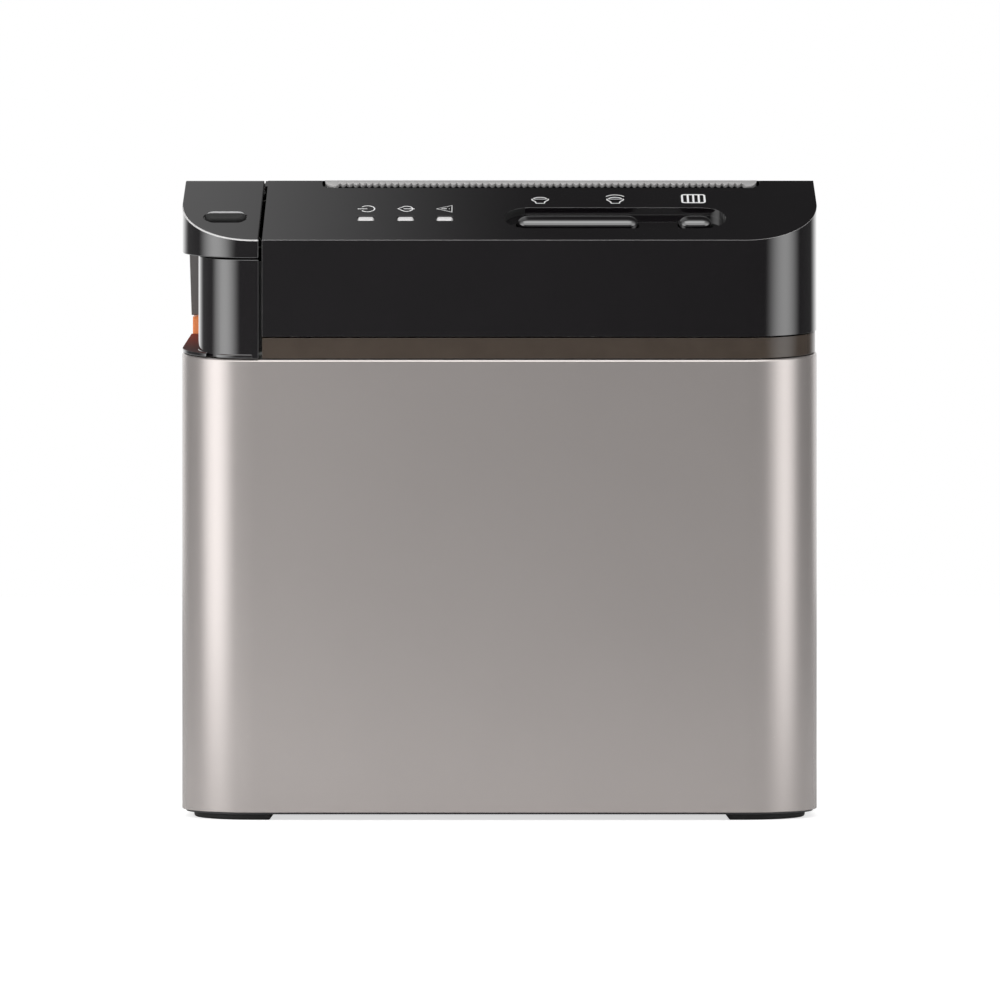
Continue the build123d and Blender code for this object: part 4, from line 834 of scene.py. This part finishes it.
@dataclass
class ControlPanel(Assembly):
    """Front cover with its pocket, keys, windows and printing."""

    slope: Slope = field(default_factory=Slope)
    rocker_x: Pair = (3.5, 27.6)
    button_x: Pair = (35.7, 42.25)
    key_along: float = 10.3
    key_width: float = 4.6
    key_crown: float = 1.15
    key_depth: float = 3.4
    window_x: Triple = (-26.6, -18.7, -10.9)
    light_mark_along: float = 14.6
    edge: float = 0.35
    rim_x: Pair = (4.9, 41.9)
    pocket_width: float = 9.7
    pocket_left: float = 0.9
    pocket_depth: float = 1.7
    pocket_slack: float = 0.2
    end_tilt: float = 0.2
    tolerance: float = 0.01
    largest_rim_face: float = 1e-4
    key_rise: float = 0.1
    key_segments: int = 48
    key_smooth: float = 50.0
    key_marks: tuple[tuple[Icon, float, float], ...] = (
        (Icon.QUIET, 8.15, 17.2), (Icon.LOUD, 23.2, 17.2), (Icon.LIST, 38.9, 19.4))

    def key(self, name: str, span: Pair, node: str, body: str) -> None:
        """Makes a crowned round-ended key that stands in the pocket.

        Args:
            name: The piece's name.
            span: Its left and right ends, in millimetres.
            node: The node that it stands for.
            body: The body that it moves with.
        """
        half = self.key_width / 2
        reach = (span[1] - span[0]) / 2 - half
        deselect()
        bpy.ops.mesh.primitive_uv_sphere_add(segments=self.key_segments,
                                             ring_count=self.key_segments // 2,
                                             radius=half * MM)
        key = bpy.context.active_object
        self.shift_side(key, 1, reach)
        self.shift_side(key, -1, reach)
        bpy.ops.object.mode_set(mode="EDIT")
        bpy.ops.mesh.select_all(action="SELECT")
        bpy.ops.mesh.bisect(plane_co=(0, 0, 0), plane_no=(0, 0, 1), clear_inner=True,
                            use_fill=True)
        bpy.ops.object.mode_set(mode="OBJECT")
        for face in key.data.polygons:
            face.select = face.normal.z < -FACING and face.center.z < self.tolerance * MM
        bpy.ops.object.mode_set(mode="EDIT")
        bpy.ops.mesh.extrude_region_move(
            TRANSFORM_OT_translate={"value": (0, 0, -self.key_depth * MM)})
        bpy.ops.object.mode_set(mode="OBJECT")
        for vertex in key.data.vertices:
            if vertex.co.z > 0:
                vertex.co.z *= self.key_crown / half
        middle = (span[0] + span[1]) / 2
        apply_place(key, self.slope.matrix(middle, self.key_along, self.key_rise - self.key_crown))
        soften(key, self.key_smooth)
        self.settle(key, name, BLACK, body, (node,))

    def shift_side(self, piece: bpy.types.Object, side: int, reach: float) -> None:
        """Moves the half of a mesh on one side of the middle outwards."""
        activate(piece)
        bpy.ops.object.mode_set(mode="EDIT")
        bpy.ops.mesh.select_all(action="DESELECT")
        bpy.ops.object.mode_set(mode="OBJECT")
        for vertex in piece.data.vertices:
            vertex.select = side * vertex.co.x > 0.001 * MM
        bpy.ops.object.mode_set(mode="EDIT")
        bpy.ops.transform.translate(value=(side * reach * MM, 0, 0))
        bpy.ops.object.mode_set(mode="OBJECT")

    def pocket_rim(self, face: bpy.types.MeshPolygon) -> bool:
        """Whether a face lies on the pocket's upper rim."""
        spot = self.slope.local(face.center)
        upper = self.key_along + self.pocket_width / 2
        return (self.rim_x[0] < spot.x < self.rim_x[1] and abs(spot.y - upper) < self.edge
                and -self.edge < spot.z < -self.tolerance
                and face.area < self.largest_rim_face)

    def pocket_end(self, face: bpy.types.MeshPolygon) -> bool:
        """Whether a face lies on the pocket's left end wall."""
        spot = self.slope.local(face.center)
        half = self.pocket_width / 2
        return (abs(spot.y - self.key_along) < half
                and self.pocket_left - self.pocket_slack < spot.x < self.pocket_left + half
                and -self.pocket_depth < spot.z < -self.tolerance
                and face.normal.x > self.end_tilt)

    def build(self) -> None:
        """Makes the front cover and all that shows on it."""
        panel = self.skin("front_panel", BLACK, self.edge)
        # The panel's rounded front edge gets a pale painted highlight.
        self.accent(panel, EDGE_PAINTED_HIGHLIGHT, lambda face: self.outer_edge(face, self.slope)
                    and face.normal.x > -0.3)
        # The panel's front-left upright edge gets a dimmer painted highlight.
        self.accent(panel, SIDE_EDGE_PAINTED_HIGHLIGHT, lambda face: max(face.normal.x, face.normal.y) < -0.25
                    and abs(face.normal.z) < 0.2
                    and face.center.y < (self.slope.front + 0.5) * MM)
        # The pocket's upper rim gets a pale painted highlight.
        self.accent(panel, RIM_PAINTED_HIGHLIGHT, self.pocket_rim)
        self.accent(panel, MATT, self.pocket_end)
        self.key("volume_key_cap", self.rocker_x, "volume_rocker", "volume_key")
        self.key("list_key_cap", self.button_x, "list_button", "list_key")
        for light in ("power_light", "paper_light", "error_light"):
            self.skin(light, LENS_WITH_PAINTED_GLOW, 0.55, 4)
        self.dress(MASK, "panel_board")
        printing = Printing(self.slope)
        light_marks = tuple((icon, across, self.light_mark_along) for icon, across
                            in zip((Icon.POWER, Icon.PAPER, Icon.ERROR), self.window_x))
        for icon, across, along in light_marks + self.key_marks:
            self.settle(printing.draw(icon, across, along), f"mark_{icon.value}", INK_WITH_PAINTED_GLOW)


@dataclass
class ReleaseLever(Assembly):
    """Column on the left and the pad that opens the cover."""

    shelf_top: float = 99.0
    grip_split: float = 11.0
    shade_strip_box: tuple[Triple, Triple] = ((-49.2, -61.45, 93.0), (-46.9, -60.6, 110.3))
    shade_strip_round: float = 0.2
    slope: Slope = field(default_factory=Slope)

    def build(self) -> None:
        """Makes the column, the pad, its grip and the dark strip behind the gap that stands in for
        shade.
        """
        column = self.skin("release_column", BLACK, 0.2)
        # The column's upward faces below the shelf top get the amber glow as painted light.
        self.accent(column, SHELF_PAINTED_GLOW, lambda face: face.normal.z > FACING
                    and face.center.z < self.shelf_top * MM)
        pad = self.skin("release_pad", BLACK, 0.3, body="release")
        # The pad's rounded front edge gets a pale painted highlight.
        self.accent(pad, EDGE_PAINTED_HIGHLIGHT, lambda face: self.outer_edge(face, self.slope)
                    and face.normal.y < -0.35)
        self.grip()
        self.shade_strip()
        self.dress(BLACKENED, "pad_pin")

    def grip(self) -> None:
        """Makes the pad's grip, matt below and with a pale painted highlight on its upper faces.
        """
        grip = self.skin("pad_grip", MATT, 0.2, body="release")
        plane = self.slope.matrix(0, self.grip_split, 0)
        activate(grip)
        bpy.ops.object.mode_set(mode="EDIT")
        bpy.ops.mesh.select_all(action="SELECT")
        bpy.ops.mesh.bisect(plane_co=plane.translation, plane_no=plane.col[1].to_3d())
        bpy.ops.object.mode_set(mode="OBJECT")
        # The grip's upper faces get a pale painted highlight.
        self.accent(grip, GRIP_TOP_PAINTED_HIGHLIGHT,
                    lambda face: self.slope.local(face.center).y > self.grip_split
                    and self.slope.local(face.center).z > 0.0)

    def shade_strip(self) -> None:
        """Makes a dark strip behind the gap between the column and the front cover, a painted
        shade that keeps light from showing through the gap.
        """
        low, high = self.shade_strip_box
        deselect()
        bpy.ops.mesh.primitive_cube_add(size=1.0)
        strip = bpy.context.active_object
        size = [(high[axis] - low[axis]) * MM for axis in range(3)]
        middle = [(high[axis] + low[axis]) / 2 * MM for axis in range(3)]
        apply_place(strip, Matrix.Translation(middle) @ Matrix.Diagonal((*size, 1.0)))
        apply_modifier(strip, "BEVEL", width=self.shade_strip_round * MM, segments=3)
        soften(strip)
        self.settle(strip, "gap_shade_strip", FOOT_RUBBER)


@dataclass
class PaperCover(Assembly):
    """Hinged cover with its tear bar, and the housing behind it."""

    wall_reach: float = -44.0
    slope: Slope = field(default_factory=Slope)
    bar_x: Pair = (-35.3, 52.0)
    teeth_x: Pair = (-32.2, 48.9)
    teeth: int = 62
    tooth_steps: int = 8
    tab: float = 2.8
    tab_sweep: float = 2.0
    tip: float = 2.0
    root: float = 1.2
    bar_thickness: float = 0.7
    bar_rows: int = 3
    bar_round: float = 0.05
    bar_sharp: float = 50.0
    crest_gap: float = 0.02
    least_reach: float = 0.05
    body: ClassVar[str] = "lid"

    def tear_edge(self) -> list[Pair]:
        """Line of the tear bar's lower edge.

        Returns:
            Places across the printer, each with the bar's reach down from the crest.
        """
        steps = self.tooth_steps
        turns = [math.radians(90 * step / steps) for step in range(steps + 1)]
        left = [(self.bar_x[0] + self.tab_sweep * (1 - math.cos(turn)),
                 self.tab * math.sin(turn)) for turn in turns]
        right = [(self.bar_x[1] - self.tab_sweep * (1 - math.cos(turn)),
                  self.tab * math.sin(turn)) for turn in reversed(turns)]
        pitch = (self.teeth_x[1] - self.teeth_x[0]) / self.teeth
        comb = [(self.teeth_x[0] + pitch * step / steps,
                 self.root + (self.tip - self.root) * abs(math.sin(math.pi * step / steps)))
                for step in range(self.teeth * steps + 1)]
        inner = self.tab - self.root
        return (left + [(self.teeth_x[0] - inner / 2, self.tab)] + comb
                + [(self.teeth_x[1] + inner / 2, self.tab)] + right)

    def tear_bar(self) -> None:
        """Makes the tear bar with its scalloped teeth and rounded tabs."""
        edge = self.tear_edge()
        crest = self.slope.length - self.crest_gap
        deselect()
        bpy.ops.mesh.primitive_grid_add(x_subdivisions=len(edge) - 1,
                                        y_subdivisions=self.bar_rows - 1, size=2.0)
        bar = bpy.context.active_object
        for vertex in bar.data.vertices:
            column = round((vertex.co.x + 1) / 2 * (len(edge) - 1))
            share = (vertex.co.y + 1) / 2
            across, reach = edge[column]
            along = crest - max(reach, self.least_reach) * (1 - share)
            vertex.co = Vector((across, along, 0.0)) * MM
        apply_modifier(bar, "SOLIDIFY", thickness=self.bar_thickness * MM, offset=-1.0)
        apply_modifier(bar, "BEVEL", width=self.bar_round * MM, segments=2,
                       limit_method="ANGLE", angle_limit=math.radians(self.bar_sharp))
        apply_place(bar, self.slope.matrix())
        soften(bar)
        self.settle(bar, "tear_bar_scalloped", BLADE, stands_for=("tear_bar",))

    def build(self) -> None:
        """Makes the cover, its blade and the rear housing."""
        cover = self.skin("top_cover", BLACK, 0.25)
        # The cover's faces that tilt down at the front, at the left by the lever, get a grey
        # painted reflection.
        self.accent(cover, WALL_PAINTED_REFLECTION, lambda face: face.normal.y < -0.8 and face.normal.z < -0.3
                    and face.center.x < self.wall_reach * MM)
        self.skin("rear_housing", BLACK, 0.25, body="chassis")
        self.tear_bar()
        self.skin("platen_holder", DARK, 0.2, 2)
        self.dress(PLATED, "hinge_pin_left", "hinge_pin_right")
        self.dress(GROUND_STEEL, "fixed_blade")
        self.dress(NATURAL, "platen_bush_left", "platen_bush_right")


@dataclass
class PaperDrive(Assembly):
    """Platen, gears, head, cutter, latch and the plates that carry them."""

    def build(self) -> None:
        """Dresses the mechanism."""
        self.skin("mechanism_frame", PLATED, 0.12, 2)
        self.dress(PLATED, "platen_shaft", "idler_pin", "latch_bar", "latch_spring",
                   "head_springs", "lever_pin")
        self.dress(PLATED_UPRIGHT, "feed_motor", "cutter_motor", "cutter_frame")
        self.dress(ROLLER_RUBBER, "platen_roller")
        self.dress(NATURAL, "platen_gear", "idler_gear", "near_end_lever")
        self.dress(BRASS, "feed_pinion", "cutter_pinion")
        self.dress(GROUND_STEEL, "moving_blade")
        self.dress(GLAZE, "print_head")
        self.dress(EXTRUDED, "head_heatsink")
        self.dress(FILM, "head_cable")
        self.skin("paper_bucket", DARK, 0.3, 2)


@dataclass
class RearSockets(Assembly):
    """Rear plate with sockets, switch, board and speaker."""

    def build(self) -> None:
        """Makes the back of the printer."""
        self.skin("rear_plate", DARK, 0.2, 2)
        self.skin("network_socket", TINNED, 0.15, 2)
        self.skin("drawer_socket", DARK, 0.15, 2)
        self.skin("usb_socket", TINNED, 0.15, 2)
        self.skin("power_socket", DARK, 0.15, 2)
        self.skin("switch_body", DARK, 0.15, 2)
        self.skin("power_switch", DARK, 0.2, body="power_key")
        self.dress(MASK, "main_board")
        self.dress(DARK, "speaker")


@dataclass
class Softbox:
    """A rectangular lamp with soft edges."""

    name: str
    place: Triple
    target: Triple
    width: float
    height: float
    radiance: float
    soft: tuple[float, float, float, float] = (0.15, 0.15, 0.15, 0.15)
    mirrored: bool = True

    def build(self) -> None:
        """Adds the lamp, turned to its target."""
        data = bpy.data.lights.new(self.name, "AREA")
        data.shape = "RECTANGLE"
        data.size = self.width
        data.size_y = self.height
        data.energy = self.radiance * math.pi * self.width * self.height
        data.use_nodes = True
        nodes = Nodes(data.node_tree)
        face = nodes.out(nodes.add("ShaderNodeNewGeometry"), "Parametric")
        spot = nodes.add("ShaderNodeSeparateXYZ", None, {0: face})
        across, upward = nodes.out(spot, 0), nodes.out(spot, 1)
        start, end, bottom, top = self.soft
        level = nodes.ramp(across, 0.0, start) * nodes.ramp(1 - across, 0.0, end)
        level = level * nodes.ramp(upward, 0.0, bottom) * nodes.ramp(1 - upward, 0.0, top)
        glow = nodes.add("ShaderNodeEmission", None, {"Strength": level})
        output = nodes.add("ShaderNodeOutputLight")
        nodes.tree.links.new(glow.outputs[0], output.inputs[0])
        lamp = bpy.data.objects.new(self.name, data)
        bpy.context.scene.collection.objects.link(lamp)
        lamp.visible_glossy = self.mirrored
        aim = Vector(self.target) - Vector(self.place)
        turn = aim.to_track_quat("-Z", "Y").to_matrix().to_4x4()
        lamp.matrix_world = Matrix.Translation(self.place) @ turn


@dataclass
class Studio:
    """White room, plain floor, soft lamps and the camera."""

    ambient: float = 0.45
    front_glow: Pair = (0.115, 0.075)
    behind_glow: float = 0.038
    overhead_glow: float = 2.2
    wall_back: Pair = (0.6, 0.92)
    wall_up: Pair = (0.6, 0.4)
    overhead_up: Pair = (0.3, 0.6)
    overhead_back: Pair = (0.35, -0.6)
    behind_up: Pair = (0.4, 0.6)
    behind_back: Pair = (0.2, 0.4)
    front_aside: Pair = (-0.08, 0.08)
    floor_size: float = 4.0
    floor_white: float = 0.8
    floor_lift: float = 0.65
    camera_place: Triple = (0.0001, -0.9675, 0.0632)
    lens: float = 165.2
    sensor: float = 36.0

    def world(self) -> None:
        """White to the eye, plain grey to matt surfaces, and a white wall behind for gloss."""
        world = bpy.data.worlds.new("studio")
        bpy.context.scene.world = world
        world.use_nodes = True
        nodes = Nodes(world.node_tree)
        ray = nodes.add("ShaderNodeLightPath")
        seen = nodes.out(ray, "Is Camera Ray")
        shiny = nodes.out(ray, "Is Glossy Ray").maximum(nodes.out(ray, "Is Transmission Ray"))
        sky = nodes.out(nodes.add("ShaderNodeTexCoord"), "Generated")
        way = nodes.add("ShaderNodeSeparateXYZ", None, {0: sky})
        aside, back, up = nodes.out(way, 0), nodes.out(way, 1), nodes.out(way, 2)
        wall = nodes.ramp(back, *self.wall_back) * nodes.ramp(up, *self.wall_up)
        overhead = nodes.ramp(up, *self.overhead_up) * nodes.ramp(back, *self.overhead_back)
        overhead = overhead * self.overhead_glow
        behind = nodes.ramp(up, *self.behind_up) * nodes.ramp(back, *self.behind_back)
        front = nodes.ramp(aside, *self.front_aside, *self.front_glow)
        mirrored = front + behind * (self.behind_glow - front) + overhead + wall
        level = seen + (1 - seen) * (shiny * mirrored + (1 - shiny) * self.ambient)
        background = nodes.add("ShaderNodeBackground", None,
                               {"Color": (1, 1, 1, 1), "Strength": level})
        output = nodes.add("ShaderNodeOutputWorld")
        nodes.tree.links.new(background.outputs[0], output.inputs[0])

    def floor(self) -> None:
        """A wide white floor that shows as white and keeps the shadow."""
        deselect()
        bpy.ops.mesh.primitive_plane_add(size=self.floor_size)
        floor = bpy.context.active_object
        floor.name = "floor"
        material = bpy.data.materials.new("floor")
        material.use_nodes = True
        nodes = Nodes(material.node_tree)
        matt = nodes.add("ShaderNodeBsdfDiffuse", None,
                         {"Color": rgba((1, 1, 1), self.floor_white)})
        seen = nodes.out(nodes.add("ShaderNodeLightPath"), "Is Camera Ray")
        lift = nodes.add("ShaderNodeEmission", None, {"Strength": seen * self.floor_lift})
        both = nodes.add("ShaderNodeAddShader")
        output = nodes.add("ShaderNodeOutputMaterial")
        nodes.tree.links.new(matt.outputs[0], both.inputs[0])
        nodes.tree.links.new(lift.outputs[0], both.inputs[1])
        nodes.tree.links.new(both.outputs[0], output.inputs[0])
        floor.data.materials.append(material)

    def camera(self) -> None:
        """The camera at the photograph's place, level and square to the front."""
        data = bpy.data.cameras.new("camera")
        data.lens = self.lens
        data.sensor_width = self.sensor
        camera = bpy.data.objects.new("camera", data)
        bpy.context.scene.collection.objects.link(camera)
        camera.location = self.camera_place
        camera.rotation_euler = (math.radians(90), 0, 0)
        bpy.context.scene.camera = camera

    def build(self) -> None:
        """Sets up the whole studio."""
        bpy.context.scene.view_settings.view_transform = "Standard"
        self.world()
        self.floor()
        self.camera()
        lamps = (Softbox("left_softbox", place=(-0.456, -0.28, 0.17),
                         target=(-0.026, -0.11, 0.08), width=0.67, height=0.5, radiance=2.35,
                         soft=(0.47, 0.5, 0.2, 0.2)),
                 Softbox("right_softbox", place=(0.465, -0.258, 0.17),
                         target=(0.035, -0.088, 0.08), width=0.62, height=0.5, radiance=1.95,
                         soft=(0.5, 0.47, 0.2, 0.2)),
                 Softbox("top_softbox", place=(0.0, -0.18, 0.72), target=(0.0, -0.04, 0.1),
                         width=0.7, height=0.34, radiance=1.5),
                 Softbox("rear_gradient", place=(-0.24, 0.30, 0.64),
                         target=(-0.24, -0.05, 0.12), width=0.52, height=0.5, radiance=0.33,
                         soft=(0.27, 0.05, 0.1, 0.1)),
                 Softbox("front_fill", place=(-0.13, -0.30, 0.08),
                         target=(-0.06, -0.07, 0.065), width=0.16, height=0.26, radiance=2.7,
                         mirrored=False))
        for lamp in lamps:
            lamp.build()


def main() -> None:
    """Builds the camera and studio, then every sub-assembly, and logs each piece's face count."""
    logging.basicConfig(level=logging.INFO, format="%(message)s")
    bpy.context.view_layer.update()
    Studio().build()
    for assembly in (CaseBody(), LightRing(), ControlPanel(), ReleaseLever(), PaperCover(),
                     PaperDrive(), RearSockets()):
        assembly.build()


if __name__ == "__main__":
    main()
